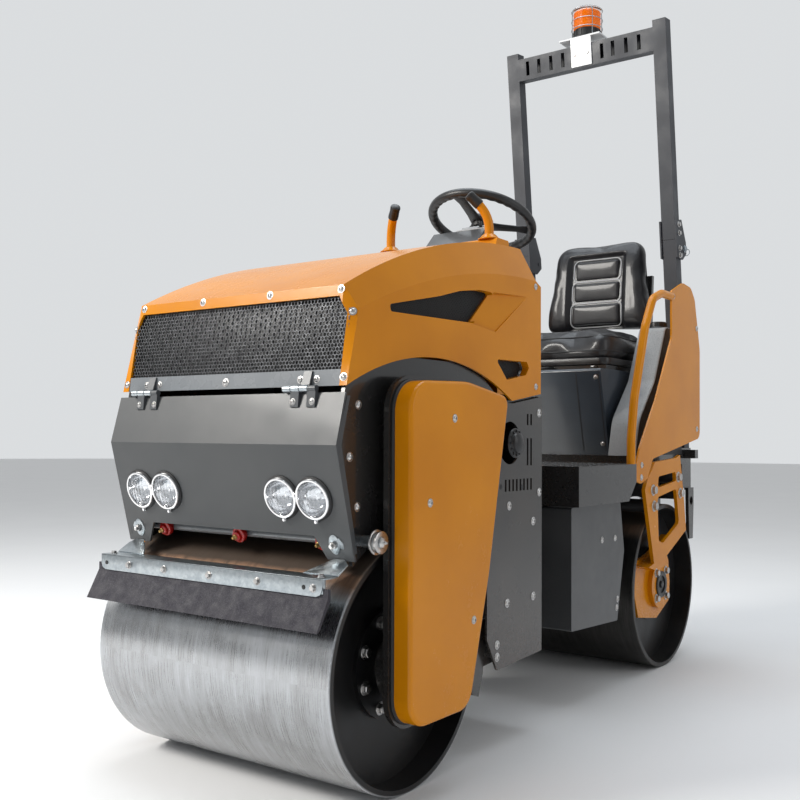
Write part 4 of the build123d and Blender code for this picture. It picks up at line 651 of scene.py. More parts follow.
def perforated(corners, pitch, hole, thick, stagger=0.866):
    """Sheet in its own XY plane with staggered round holes, cut along a convex outline in millimetres."""
    half = pitch * MM / 2
    bpy.ops.object.select_all(action="DESELECT")
    bpy.ops.mesh.primitive_circle_add(vertices=12, radius=hole * MM / 2, fill_type="NOTHING")
    cell = bpy.context.object
    worked(cell, lambda: bpy.ops.mesh.extrude_edges_move())
    for vertex in cell.data.vertices[12:]:
        angle = math.atan2(vertex.co.y, vertex.co.x)
        reach = half / math.cos((angle + math.pi / 6) % (math.pi / 3) - math.pi / 6)
        vertex.co = (reach * math.cos(angle), reach * math.sin(angle) * stagger / 0.866, 0.0)
    rim = copied(cell)
    for vertex in rim.data.vertices[12:]:
        vertex.co = (*rim.data.vertices[vertex.index - 12].co.xy, -thick * MM)
    cell = worked(together(cell, rim), lambda: bpy.ops.mesh.remove_doubles(threshold=0.00001))
    xs, ys = [x for x, _ in corners], [y for _, y in corners]
    rows = int((max(ys) - min(ys)) / (pitch * stagger)) + 3
    columns = int((max(xs) - min(xs)) / pitch + rows / 2) + 3
    for count, step in ((columns, (2 * half, 0, 0)), (rows, (half, 2 * half * stagger, 0))):
        modified(cell, "ARRAY", use_relative_offset=False, use_constant_offset=True, constant_offset_displace=step,
                 count=count, use_merge_vertices=True, merge_threshold=0.00002)
    cell.data.transform(Matrix.Translation(((min(xs) - (rows / 2 + 1) * pitch) * MM,
                                            (min(ys) - pitch * stagger) * MM, 0)))
    middle = Vector((sum(xs) / len(xs), sum(ys) / len(ys), 0))
    for (x1, y1), (x2, y2) in zip(corners, corners[1:] + corners[:1]):
        normal = Vector((y2 - y1, x1 - x2, 0)).normalized()
        if normal.dot(middle - Vector((x1, y1, 0))) > 0:
            normal.negate()
        worked(cell, lambda n=normal, p=(x1 * MM, y1 * MM, 0): bpy.ops.mesh.bisect(
            plane_co=p, plane_no=n, clear_outer=True, clear_inner=False))
    return cell


def stood(piece, origin, across, up):
    """Moves a piece from its own XY plane to a plane given by a point and two directions."""
    across, up = Vector(across).normalized(), Vector(up).normalized()
    turn = Matrix((across, up, across.cross(up))).transposed().to_4x4()
    piece.data.transform(Matrix.Translation(origin) @ turn)
    return piece


# ---------------------------------------------------------------- hood
def dress_hood():
    """Perforated grille, side meshes and screws of the tilting hood."""
    low, _ = landed("hood_grille", 0, -600, 940, BACK)
    high, _ = landed("hood_grille", 0, -600, 1085, BACK)
    slope = (high - low).normalized()
    window = [(-344, -14), (344, -14), (344, 120), (322, 157), (-322, 157), (-344, 120)]
    grille = stood(perforated(window, 9.6, 8.2, 1.6), low + Vector((0, -0.0002, 0)), LEFT, slope)
    settled(coated(grille, MESH_GREY), "grille_mesh", "hood", "mesh_grey_paint", "hood_grille")
    backing = plate([low + slope * (z * MM) + Vector((x * MM, 0.012, 0)) for x, z in window], (0, 4, 0), 1.0)
    ribs = [brick((x - 1.5, 0, 0), (x + 1.5, 3, 150), 0.8, 1) for x in range(-330, 331, 15)]
    for rib in ribs:
        lean = math.atan2(slope.y, slope.z)
        rib.data.transform(Matrix.Translation(low + Vector((0, 0.0095, 0))) @ Matrix.Rotation(-lean, 4, "X")
                           @ Matrix.Translation(-at(0, 0, 0)))
    finished([backing, *ribs], PLASTIC, "grille_backing", "hood", "black_plastic")

    meshes, backs = [], []
    for vent in (((-80, 1082), (122, 1127), (210, 1150), (303, 1164), (377, 1165), (274, 1071), (-77, 1064)),
                 ((382, 995), (551, 998), (564, 979), (545, 957), (440, 938))):
        origin, _ = landed("hood_side_meshes", 500, vent[1][0], vent[1][1] - 12, RIGHT)
        flat = [(y, z) for y, z in vent]
        made = stood(perforated(flat, 7.4, 5.6, 1.2, 0.62), Vector((origin.x + 0.0003, FRONT_AXLE, 0)), BACK, UP)
        meshes += [made, flipped(made)]
        back = plate([at(origin.x / MM - 9, y, z) for y, z in vent], (-1.2, 0, 0))
        backs += [back, flipped(back)]
    finished(meshes, MESH_DARK, "vent_meshes", "hood", "mesh_grey_paint", "hood_side_meshes")
    finished(backs, PLASTIC, "vent_backs", "hood", "black_plastic")

    heads = [landed("hood_shell", x, -600, z, BACK) for x, z in
             ((-314, 1104), (-104, 1106), (113, 1106), (320, 1104), (-348, 1055), (348, 1055), (-347, 915), (347, 915))]
    heads += landed_sides("hood_shell", ((598, 1206), (600, 930)))
    settled(coated(spots(socket_screw(7.0), heads), BOLT_STEEL), "hood_screws", "hood", "zinc_steel")
    strip = [landed("hinge_strip", -1, -600, 912, BACK)]
    settled(coated(spots(socket_screw(7.5), strip), BOLT_STEEL), "strip_screws", "hood", "zinc_steel")
    strip = [landed("hinge_strip", x, -600, 912, BACK) for x in (-273, -227, 227, 273)]
    settled(coated(spots(socket_screw(6.5), strip), BOLT_STEEL), "hinge_screws", "hood", "zinc_steel")
    panel = [landed("panel_hinge_leaves", x, -600, 864, BACK) for x in (-277, -223, 223, 277)]
    settled(coated(spots(socket_screw(6.0), panel), BOLT_STEEL), "panel_hinge_screws", "front_frame", "zinc_steel")
    pin, barrels = Vector(JOINTS["hood_tilt"]["pos_m"]), []
    for side in (-1, 1):
        for shift in (-24.2, 0, 24.2):
            sleeve = turned([(7.05, 0), (8.0, 0.6), (8.0, 21.4), (7.05, 22)], 24)
            barrels.append(set_on(sleeve, Vector(((side * 250 + shift - 11) * MM, pin.y, pin.z)), RIGHT))
    finished(barrels, ZINC, "hinge_barrels", "front_frame", "zinc_steel")


# ---------------------------------------------------------------- lamps
LAMP_SPOTS = (-276, -185, 185, 276)


def dress_lamp_panel():
    """Headlamps with bowls, bulbs and fluted lenses, and the fasteners of the lamp panel."""
    face, normal = landed("lamp_panel", 0, -600, 659, BACK)
    rims, bezels, glasses = [], [], []
    for x in LAMP_SPOTS:
        middle = Vector((x * MM, face.y, face.z))
        rim = turned([(49, -0.2), (49, 2.4), (46.5, 4.2), (44, 4.4), (44, -6), (46, -6), (46, -0.2)], 48)
        bezel = turned([(45.6, 3.6), (45.9, 7.0), (44.6, 9.6), (42.4, 10.6), (40.2, 10.2), (38.8, 8.4), (38.4, 4),
                        (36, -6), (31, -16), (22, -24), (10, -28.5), (0, -29.5), (0, -31), (11, -30), (23.5, -25.5),
                        (32.8, -17), (37.8, -6), (40.5, 3.6)], 48)
        shield = turned([(0, -30), (7, -30), (7, -14), (5.6, -9), (0, -7.5)], 16)
        ear = plate([Vector((dx * MM, dy * MM, 0)) for dx, dy in ((-5, -44), (5, -44), (4, -53), (-4, -53))],
                    (0, 0, 6), 1.0)
        screw = set_on(hex_bolt(4.2, washer=False), Vector((0, -0.0495, 0.006)))
        glass = turned([(0, 11.4), (12, 11.0), (24, 9.6), (33, 7.4), (38.6, 4.6), (38.6, 2.8), (32, 5.2), (24, 7.2),
                        (12, 8.6), (0, 9.0)], 48)
        for piece, shelf in ((rim, rims), (together(bezel, shield, ear, screw), bezels), (glass, glasses)):
            shelf.append(set_on(piece, middle, normal))
    finished(rims, RUBBER, "lamp_rims", "front_frame", "rubber")
    finished(bezels, CHROME, "lamp_bowls", "front_frame", "lamp_chrome", "headlamps")
    finished(glasses, LAMP_GLASS, "lamp_glasses", "front_frame", "lamp_glass", "lamp_lenses")

    ears = landed_sides("front_frame", ((-172, 858), (-200, 748), (-173, 642)))
    settled(coated(spots(socket_screw(8.0), ears), BOLT_STEEL), "ear_bolts", "front_frame", "zinc_steel")
    corners = [landed("lamp_panel", x, -600, 563, BACK) for x in (-312, 312)]
    nuts = spots(together(hex_bolt(9.0, 8.0), turned([(0, 0), (5, 0), (5, 15), (4.2, 16), (0, 16)], 14)), corners)
    settled(coated(nuts, BOLT_STEEL), "corner_nuts", "front_frame", "zinc_steel")
    lips = []
    for x in (-312, 312):
        point, way = landed("lamp_panel", x, -600, 563, BACK)
        washer = turned([(6, -0.3), (15, -0.3), (15, 1.6), (14, 2.2), (6, 2.2)], 28)
        washer.data.transform(Matrix.Diagonal((1, 1.45, 1, 1)))
        lips.append(set_on(washer, point, way))
    finished(lips, ZINC, "corner_washers", "front_frame", "zinc_steel")


# ---------------------------------------------------------------- scraper, spray and front drum
def dress_scraper():
    """Folded zinc angle over the mat, its bolts and its end wings."""
    front, foot, top, half = -289.0, 466.0, 503.0, 350.0
    flange = plate([at(x, front, z) for x, z in
                    ((-half + 16, foot), (half - 16, foot), (half - 5, foot + 5), (half, foot + 16), (half, top),
                     (-half, top), (-half, foot + 16), (-half + 5, foot + 5))], (0, 3, 0), 0.8)
    shelf = brick((-half, front, top - 3.2), (half, -236, top), 1.2)
    backing = brick((-half, front + 3, foot + 6), (half, front + 13, top - 3), 0.8)
    wings = []
    for side in (-1, 1):
        fold = plate([at(side * x, y, z) for x, y, z in
                      ((350, -238, 502), (350, -205, 521), (334, -196, 530), (306, -196, 530), (290, -206, 521),
                       (262, -230, 505), (256, -238, 502))], (0, -1.6, 2.6), 0.6)
        tab = plate([at(side * x, y, z) for x, y, z in
                     ((336, -192, 528), (336, -206, 566), (328, -210, 576), (304, -210, 576), (296, -206, 566),
                      (296, -192, 528))], (0, 3.4, 1.4), 0.8)
        for piece in (fold, tab):
            worked(piece, closed_up)
            wings.append(piece)
    finished([flange, shelf, backing, *wings], ZINC, "scraper_angle", "front_frame", "zinc_steel",
            "front_scraper")
    heads = [(at(x, front, 483), FORWARD) for x in (-248, -125, 23, 170, 326)]
    heads += [(at(side * x, -268, top), UP) for side in (-1, 1) for x in (330,)]
    settled(coated(spots(hex_bolt(6.6, 5.0), heads), BOLT_STEEL), "scraper_bolts", "front_frame", "zinc_steel")
    # Flat black discs on the angle where it has an open hole: painted shade inside the hole.
    hole_shadows = [set_on(turned([(0, 0), (5.0, 0), (5.0, 0.5), (4.6, 0.7), (0, 0.7)], 18), at(x, front, 483), FORWARD)
             for x in (-330, 301)]
    finished(hole_shadows, PLASTIC, "scraper_hole_shadows", "front_frame", "black_plastic")


def dress_spray():
    """Red nozzle caps with brass tips on the water pipe."""
    caps, tips = [], []
    way = Vector((0, -1, -0.32)).normalized()
    for x in (-252, 0, 252):
        root = at(x, -159, 566)
        cap = turned([(0, 0), (13, 0), (14, 1.5), (14, 7), (18, 8), (18.6, 9.5), (18.6, 17), (17.4, 18.5), (15, 19),
                      (13, 20), (11.5, 26), (8.5, 28), (0, 28)], 28)
        caps.append(set_on(cap, root, way))
        tip = turned([(0, 26), (6.6, 26), (6.6, 31), (4.6, 33), (3.0, 38), (1.2, 38.6), (1.2, 36), (0, 36)], 18)
        tips.append(set_on(tip, root, way))
    finished(caps, RED, "nozzle_caps", "front_frame", "red_plastic", "spray_nozzles")
    finished(tips, BRASS, "nozzle_tips", "front_frame", "zinc_steel")


def drum_bolts(name, body, axle):
    """Hexagon bolts on the flange rings of a drum."""
    flank = max(abs(corner[0]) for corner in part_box(name)) / MM
    places = []
    for side in (-1, 1):
        face = side * (flank - 63 + 10)
        for turn in range(8):
            angle = math.pi * (turn + 0.5) / 4
            point = Vector((face * MM, axle + 0.102 * math.cos(angle), DRUM_RADIUS + 0.102 * math.sin(angle)))
            places.append((point, (side, 0, 0)))
    settled(coated(spots(hex_bolt(11.5, 9.5), places), BOLT_STEEL), name + "_bolts", body, "zinc_steel")


def rounded(corners, radii, steps=7):
    """Outline with an arc at each corner."""
    line = []
    count = len(corners)
    for index, (corner, radius) in enumerate(zip(corners, radii)):
        corner = Vector(corner)
        before = (Vector(corners[index - 1]) - corner).normalized()
        after = (Vector(corners[(index + 1) % count]) - corner).normalized()
        half = before.angle(after) / 2
        reach = min(radius / math.tan(half), 0.48 * min((Vector(corners[index - 1]) - corner).length,
                                                         (Vector(corners[(index + 1) % count]) - corner).length))
        radius = reach * math.tan(half)
        centre = corner + (before + after).normalized() * radius / math.sin(half)
        start, end = corner + before * reach - centre, corner + after * reach - centre
        sweep = start.angle_signed(end)
        for step in range(steps + 1):
            turn = Matrix.Rotation(-sweep * step / steps, 2)
            line.append(tuple(centre + turn @ start))
    return line


COVER_CORNERS = ((-108, 171), (130, 171), (216, 470), (306, 890), (120, 919), (-112, 912))
COVER_ROUNDS = (62, 55, 300, 26, 260, 70)


def dress_covers():
    """Rubber trim round the drive covers, with their screws."""
    line = rounded(COVER_CORNERS, COVER_ROUNDS)
    trims = []
    for side in (-1, 1):
        base = max(abs(corner[0]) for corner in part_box("drum_legs")) / MM
        trims.append(tube([at(side * (base + 3.0), y, z) for y, z in line], 4.6, closed=True))
    finished(trims, RUBBER, "cover_trims", "front_frame", "rubber")
    heads = landed_sides("drive_covers", ((57, 833), (-40, 648), (142, 370)))
    settled(coated(spots(socket_screw(7.5), heads), BOLT_STEEL), "cover_screws", "front_frame", "zinc_steel")


def dress_side_plates():
    """Bolts, flat dark discs that are painted shade inside each open hole, and the ribbed intake cap of the slotted
    side plates.
    """
    plates = landed_sides("side_grilles", ((609, 858), (610, 641), (445, 612), (576, 564), (436, 361), (577, 362),
                                           (385, 262), (385, 231)))
    settled(coated(spots(socket_screw(9.0), plates), BOLT_STEEL), "side_plate_bolts", "front_frame", "zinc_steel")
    # Flat rubber-black discs where the plates have an open hole: painted shade inside the hole.
    hole_shadows = [set_on(turned([(0, -0.2), (7.0, -0.2), (7.0, 0.4), (6.4, 0.6), (0, 0.6)], 20), point, way)
             for point, way in landed_sides("side_grilles", ((403, 663), (514, 658)))]
    finished(hole_shadows, RUBBER, "side_plate_hole_shadows", "front_frame", "rubber")
    caps = []
    for point, way in landed_sides("intake_caps", ((449, 776),)):
        cap = turned([(0, 0), (38, 0), (39, 2), (37, 5), (33, 6), (31, 5), (28, 8), (26, 14), (20, 18), (10, 20),
                      (0, 20.5)], 40)
        ribs = []
        for turn in range(12):
            angle = turn * math.pi / 6
            rib = brick((-2.5, 25, 2), (2.5, 35, 8.5), 1.0, 1)
            rib.data.transform(Matrix.Rotation(angle, 4, "Z") @ Matrix.Translation(-at(0, 0, 0)))
            ribs.append(rib)
        caps.append(set_on(together(cap, *ribs), point, way))
    finished(caps, PLASTIC, "intake_hubs", "front_frame", "black_plastic",
            "intake_caps")
    edge = []
    for z in (868, 848, 826, 806, 786, 766, 746, 702, 660, 616):
        edge += [landed("front_frame", side * 349, 900, z, FORWARD) for side in (-1, 1)]
    settled(coated(spots(hex_bolt(5.0), edge), PLASTIC), "bulkhead_bolts", "front_frame", "black_plastic")


def dress_frame_pins():
    """Grease fittings, washers and the blue bush on the pins that carry the legs."""
    low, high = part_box("frame_pins")
    y, z = (low[1] + high[1]) / 2, (low[2] + high[2]) / 2
    washers, bushes, nipples = [], [], []
    for side in (-1, 1):
        tip = Vector((side * high[0], y, z))
        way = (side, 0, 0)
        washers.append(set_on(turned([(13.2, -18), (27, -18), (27, -15), (25, -13.8), (20, -13.8), (20, -7),
                                      (24, -6.5), (24, -3), (22, -2), (13.2, -2)], 32), tip, way))
        bushes.append(set_on(turned([(13.3, -13.6), (19.4, -13.6), (19.4, -7.2), (13.3, -7.2)], 28), tip, way))
        nipples.append(set_on(turned([(0, -1), (12, -1), (12.6, 1), (11, 3.4), (6, 4.4), (4, 5), (4, 8), (2.4, 9),
                                      (3, 11), (1.6, 12.4), (0, 12.6)], 20), tip, way))
    finished([*washers, *nipples], BOLT_STEEL, "pin_washers", "front_frame", "zinc_steel")
    blue = moulded("bluish_bush", tint(0.2, 0.42, 0.6), tint(0.15, 0.33, 0.5), gloss=(0.3, 0.45))
    finished(bushes, blue, "pin_bushes", "front_frame", "black_plastic")


dress_hood()
dress_lamp_panel()
dress_scraper()
dress_spray()
drum_bolts("front_drum", "front_drum", FRONT_AXLE)
drum_bolts("rear_drum", "rear_drum", REAR_AXLE)
dress_covers()
dress_side_plates()
dress_frame_pins()


# ---------------------------------------------------------------- driver's controls
def dress_steering_wheel():
    """Wheel with finger ridges, three flat spokes and a domed hub cap, square to its joint's axis."""
    joint = JOINTS["wheel_turn"]
    middle, way = Vector(joint["pos_m"]), Vector(joint["axis"])
    bpy.ops.object.select_all(action="DESELECT")
    bpy.ops.mesh.primitive_torus_add(major_radius=0.162, minor_radius=0.0152, major_segments=144, minor_segments=16)
    rim = bpy.context.object
    for vertex in rim.data.vertices:
        around = math.atan2(vertex.co.y, vertex.co.x)
        ring = Vector((0.162 * math.cos(around), 0.162 * math.sin(around), 0))
        inner = vertex.co - ring
        if inner.z < 0.004 and vertex.co.length < 0.166:
            vertex.co = ring + inner * (0.94 + 0.06 * math.cos(36 * around))
    spokes = []
    for turn in (90, 210, 330):
        spoke = plate([Vector((x * MM, y * MM, 0)) for x, y in
                       ((18, -25), (60, -18), (118, -15), (157, -24), (157, 24), (118, 15), (60, 18), (18, 25))],
                      (0, 0, 7), 2.4)
        rib = plate([Vector((x * MM, y * MM, 0.0065)) for x, y in ((40, -6), (140, -4), (140, 4), (40, 6))],
                    (0, 0, 2.2), 1.0)
        spoke = together(spoke, rib)
        spoke.data.transform(Matrix.Rotation(math.radians(turn), 4, "Z") @ Matrix.Translation((0, 0, -0.019))
                             @ Matrix.Rotation(-math.radians(5.5), 4, "Y"))
        spokes.append(spoke)
    hub = turned([(10.2, -28), (30, -28), (32, -24), (32, -4), (36, -1), (36, 6), (33, 11), (24, 14.5), (12, 16),
                  (0, 16.2), (0, 14.4), (10.2, 14.4)], 40)
    wheel = set_on(together(rim, hub, *spokes), middle, way)
    settled(coated(wheel, PLASTIC), "driver_wheel", "steering_wheel", "black_plastic", "steering_wheel")
    boot = turned([(24.2, -118), (33, -118), (35, -112), (28, -106), (34, -100), (27.5, -94), (32.5, -88), (27, -82),
                   (31, -76), (26.5, -70), (29.5, -64), (26, -58), (24.2, -56)], 28)
    settled(coated(set_on(boot, middle, way), RUBBER), "column_boot", "front_frame", "rubber")


def dress_levers():
    """Bent travel levers with flared collars and rubber knobs."""
    tubes, knobs, collars = [], [], []
    for side in (-1, 1):
        path = [at(side * x, y, z) for x, y, z in
                ((178, 650, 1366), (178.5, 650, 1400), (174, 646, 1432), (160, 634, 1462), (143, 620, 1482))]
        tubes.append(tube(path, 13.5, sides=20))
        tubes.append(set_on(turned([(14, 0), (19, 0), (18.6, 5), (15.5, 9), (14, 10)], 24), at(side * 178, 650, 1365)))
        end, lean = path[-1], (path[-1] - path[-2]).normalized()
        knob = turned([(0, -24), (14.2, -24), (15.6, -22.5), (15.9, -14), (15.0, 0), (15.2, 10), (15.9, 15),
                       (14.6, 19.5), (9, 22.6), (0, 23)], 28)
        knobs.append(set_on(knob, end, lean))
        collars.append(set_on(turned([(14, 0), (33, 0), (33, 2.5), (28, 5), (21, 13), (17, 16), (14, 16)], 28),
                              at(side * 178, 650, 1364.6)))
    finished(tubes, YELLOW, "lever_tubes", "front_frame", "yellow_paint", "travel_levers")
    finished(knobs, PLASTIC, "lever_knobs", "front_frame", "black_plastic", "lever_grips")
    finished(collars, YELLOW, "lever_collars", "front_frame", "yellow_paint")


def dress_dashboard():
    """Gauges, switches, a key and a light plate on the instrument box, screws on the console."""
    dark, light, glass = [], [], []
    for x in (-45, 45):
        point, way = landed("instrument_box", x, 900, 1372, FORWARD)
        dark.append(set_on(turned([(23, 0), (28, 0), (28.6, 1.5), (28, 4), (25, 5.2), (23, 4)], 40), point, way))
        light.append(set_on(turned([(0, 0), (23, 0), (23, 1.2), (0, 1.2)], 40), point, way))
        glass.append(set_on(turned([(0, 3.4), (23, 3.0), (23, 2.4), (0, 2.8)], 40), point, way))
        for tick in range(9):
            mark = brick((-0.7, 14, 0), (0.7, 20, 1.7), 0.2, 1)
            mark.data.transform(Matrix.Rotation(math.radians(-120 + 30 * tick), 4, "Z")
                                @ Matrix.Translation(-at(0, 0, 0)))
            dark.append(set_on(mark, point, way))
        hand = plate([Vector((a * MM, b * MM, 0.0018)) for a, b in ((-1.4, -5), (1.4, -5), (0.4, 18), (-0.4, 18))],
                     (0, 0, 0.8))
        dark.append(set_on(hand, point, way, 0.6 * x / 45))
    for x in (-66, -40, -14, 12, 38, 64):
        point, way = landed("instrument_box", x, 900, 1318, FORWARD)
        dark.append(set_on(turned([(0, 0), (9, 0), (9.4, 1.2), (8.6, 2.4), (5.4, 2.8), (4.6, 8), (3.4, 9.6), (0, 10)],
                                  24), point, way))
    finished(dark, PLASTIC, "gauge_rims", "front_frame", "black_plastic")
    finished(light, GREY_PLASTIC, "gauge_dials", "front_frame", "light_grey_plastic")
    finished(glass, CLEAR, "gauge_glasses", "front_frame", "lamp_glass")
    brow = plate([at(x, y, z) for x, y, z in ((-12, 789, 1420), (92, 789, 1420), (92, 806, 1447), (-12, 806, 1447))],
                 (0, -3.2, 2), 1.2)
    worked(brow, closed_up)
    ledge = brick((-12, 768, 1425), (92, 794, 1434), 2.0)
    finished([brow, ledge], GREY_PLASTIC, "dash_plate", "front_frame", "light_grey_plastic")
    key = together(set_on(turned([(0, 0), (11, 0), (12, 2), (10, 5), (4, 6), (4, 10), (0, 10)], 24), at(62, 792, 1434)),
                   brick((60.6, 784, 1442), (63.4, 800, 1460), 1.0))
    settled(coated(key, PLASTIC), "dash_key", "front_frame", "black_plastic")
    heads = [landed("dash_console", x, 900, z, FORWARD) for x in (-190, 190) for z in (790, 1060, 1320)]
    settled(coated(spots(socket_screw(6.0), heads), BOLT_STEEL), "console_screws", "front_frame", "zinc_steel")


# ---------------------------------------------------------------- rear frame
def dress_deck():
    """Raised tread on the floor and the bolts of the step boxes."""
    floor_z = landed("deck", 0, 1000, 900, DOWN)[0].z
    lug = outline([Vector((x * MM, y * MM, 0)) for x, y in
                   ((-11, 0), (-5, -2.6), (5, -2.6), (11, 0), (5, 2.6), (-5, 2.6))])
    worked(lug, lambda: bpy.ops.mesh.extrude_region_move(TRANSFORM_OT_translate={"value": (0, 0, 0.0016)}),
           closed_up)
    for vertex in lug.data.vertices:
        if vertex.co.z > 0.001:
            vertex.co.xy *= 0.72
    places = []
    for row in range(13):
        for column in range(25):
            x, y = -372 + column * 31, 822 + row * 31
            places.append((Vector((x * MM, FRONT_AXLE + y * MM, floor_z - 0.0001)), (row + column) % 2))
    lugs = []
    for point, turned_over in places:
        turn = math.radians(45 + 90 * turned_over)
        lugs.append(copied(lug, Matrix.Translation(point) @ Matrix.Rotation(turn, 4, "Z")))
    bpy.data.objects.remove(lug)
    finished(lugs, BLACK, "floor_tread", "rear_frame", "dark_grey_paint")
    boxes = landed_sides("step_boxes", ((1021, 477), (1118, 475), (1136, 282), (1130, 256)))
    settled(coated(spots(socket_screw(8.0), boxes), BOLT_STEEL), "step_box_bolts", "rear_frame", "zinc_steel")


def dress_forks():
    """Hub plugs and hexagon bolts on the rear drum's forks."""
    fork_out = max(abs(corner[0]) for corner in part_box("rear_forks"))
    plates, hubs, plugs = [], [], []
    for side in (-1, 1):
        way = (side, 0, 0)
        face, _ = landed("rear_forks", side * 500, 1539, 280, (-side, 0, 0))
        flange = turned([(0, 0.2), (30, 0.2), (30, 4.4), (36, 5.2), (44, 5.2), (46, 4), (46, -0.4), (0, -0.4)], 40)
        plugs.append(set_on(flange, face, way))
        plugs.append(set_on(turned([(0, 0.2), (12, 0.2), (14, 2.2), (12.5, 6.4), (0, 7)], 6), face, way))
        for turn in range(4):
            angle = math.pi / 2 * (turn + 0.5)
            point = face + Vector((0, 0.062 * math.cos(angle), 0.062 * math.sin(angle)))
            hubs.append((point, way))
        for y, z in ((1380, 616), (1388, 562), (1614, 653), (1634, 595)):
            plates.append((Vector((side * (fork_out - 0.009), FRONT_AXLE + y * MM, z * MM)), way))
    finished(plugs, PLASTIC, "fork_hub_plugs", "rear_frame", "black_plastic")
    big = spots(hex_bolt(14.0, 10.5), plates)
    small = spots(hex_bolt(11.5, 10.0), hubs)
    finished([big, small], BOLT_STEEL, "fork_bolts", "rear_frame", "zinc_steel")


def dress_fenders():
    """Bolts through the fenders."""
    heads = landed_sides("rear_fenders", ((1568, 1292), (1803, 1199), (1802, 825), (1276, 702), (1272, 662)))
    settled(coated(spots(socket_screw(8.0), heads), BOLT_STEEL), "fender_bolts", "rear_frame", "zinc_steel")


def dress_pedestal():
    """Screws and seams of the seat box, slide rails and a handle under the seat, caps on the tanks."""
    rails = [brick((x - 14, 1388, 1032), (x + 14, 1712, 1044), 1.5) for x in (-165, 165)]
    handle = tube([at(x, y, z) for x, y, z in
                   ((-120, 1420, 1040), (-120, 1362, 1040), (-112, 1350, 1040), (-60, 1346, 1038), (0, 1346, 1038),
                    (8, 1352, 1039), (10, 1420, 1040))], 4.5)
    finished([*rails, handle], BLACK, "seat_slides", "rear_frame", "black_paint")
    front = [landed("seat_pedestal", x, 900, z, BACK) for x in (-200, 200) for z in (770, 1000)]
    settled(coated(spots(socket_screw(6.5), front), BOLT_STEEL), "seat_box_screws", "rear_frame", "zinc_steel")
    low, lean = front[0][0], (front[1][0] - front[0][0]).normalized()
    seam = []
    for x_from, x_to in ((-212, -209), (124, 128), (209, 212)):
        seam.append(plate([low + lean * (s * MM) + Vector((x * MM - low.x, -0.0004, 0)) for x, s in
                           ((x_from, -25), (x_to, -25), (x_to, 252), (x_from, 252))], (0, -0.4, 0)))
    finished(seam, RUBBER, "seat_box_seams", "rear_frame", "rubber")
    caps = []
    for side in (-1, 1):
        point, way = landed("side_tanks", side * 290, 1672, 1500, DOWN)
        cap = turned([(0, 24), (26, 24), (30, 22), (31, 18), (31, 6), (34, 4), (36, 0), (36, -1), (0, -1)], 40)
        caps.append(set_on(cap, point, way))
        for turn in range(12):
            rib = brick((-2, 30, 7), (2, 33.2, 20), 0.8, 1)
            rib.data.transform(Matrix.Rotation(turn * math.pi / 6, 4, "Z") @ Matrix.Translation(-at(0, 0, 0)))
            caps.append(set_on(rib, point, way))
    finished(caps, PLASTIC, "tank_caps", "rear_frame", "black_plastic")


# ---------------------------------------------------------------- seat
def puffed(piece, voxel, cap, pressure=4.0, smooth=16):
    """Fills a closed form like foam under a stretched cover; no point moves further than the cap."""
    modified(piece, "REMESH", mode="VOXEL", voxel_size=voxel * MM)
    start = [vertex.co.copy() for vertex in piece.data.vertices]
    only(piece)
    cloth = piece.modifiers.new("cloth", "CLOTH")
    cloth.settings.use_pressure = True
    cloth.settings.uniform_pressure_force = pressure
    cloth.settings.effector_weights.gravity = 0.0
    cloth.settings.tension_stiffness = cloth.settings.compression_stiffness = 25.0
    cloth.settings.bending_stiffness = 12.0
    scene = bpy.context.scene
    for count in range(1, 21):
        scene.frame_set(count)
    shaped = piece.evaluated_get(bpy.context.evaluated_depsgraph_get())
    ends = [vertex.co.copy() for vertex in shaped.data.vertices]
    piece.modifiers.remove(cloth)
    scene.frame_set(1)
    for vertex, before, after in zip(piece.data.vertices, start, ends):
        move = after - before
        if move.length > cap * MM:
            move *= cap * MM / move.length
        vertex.co = before + move
    return modified(piece, "SMOOTH", iterations=smooth, factor=0.5)


def ease(value, low, high):
    share = min(max((value - low) / (high - low), 0.0), 1.0)
    return share * share * (3 - 2 * share)


def skin_line(piece, starts, radius, closed=True, sink=0.3):
    """Piping laid on a piece's skin where lines from the given (point, direction) pairs meet it."""
    bpy.context.view_layer.update()
    line = []
    for point, way in starts:
        hit, spot, normal, _ = piece.ray_cast(point, Vector(way).normalized())
        if hit:
            line.append(spot + normal * radius * sink * MM)
    return tube(line, radius, closed=closed, sides=8)


def rounded_loop(half_x, low, high, radius, count=8):
    """Rounded rectangle (x, z) in millimetres."""
    corners = ((-half_x, low), (half_x, low), (half_x, high), (-half_x, high))
    line = rounded(corners, (radius,) * 4, count)
    spread = []
    for (x1, z1), (x2, z2) in zip(line, line[1:] + line[:1]):
        pieces = max(1, int(math.hypot(x2 - x1, z2 - z1) / 14))
        spread += [(x1 + (x2 - x1) * n / pieces, z1 + (z2 - z1) * n / pieces) for n in range(pieces)]
    return spread


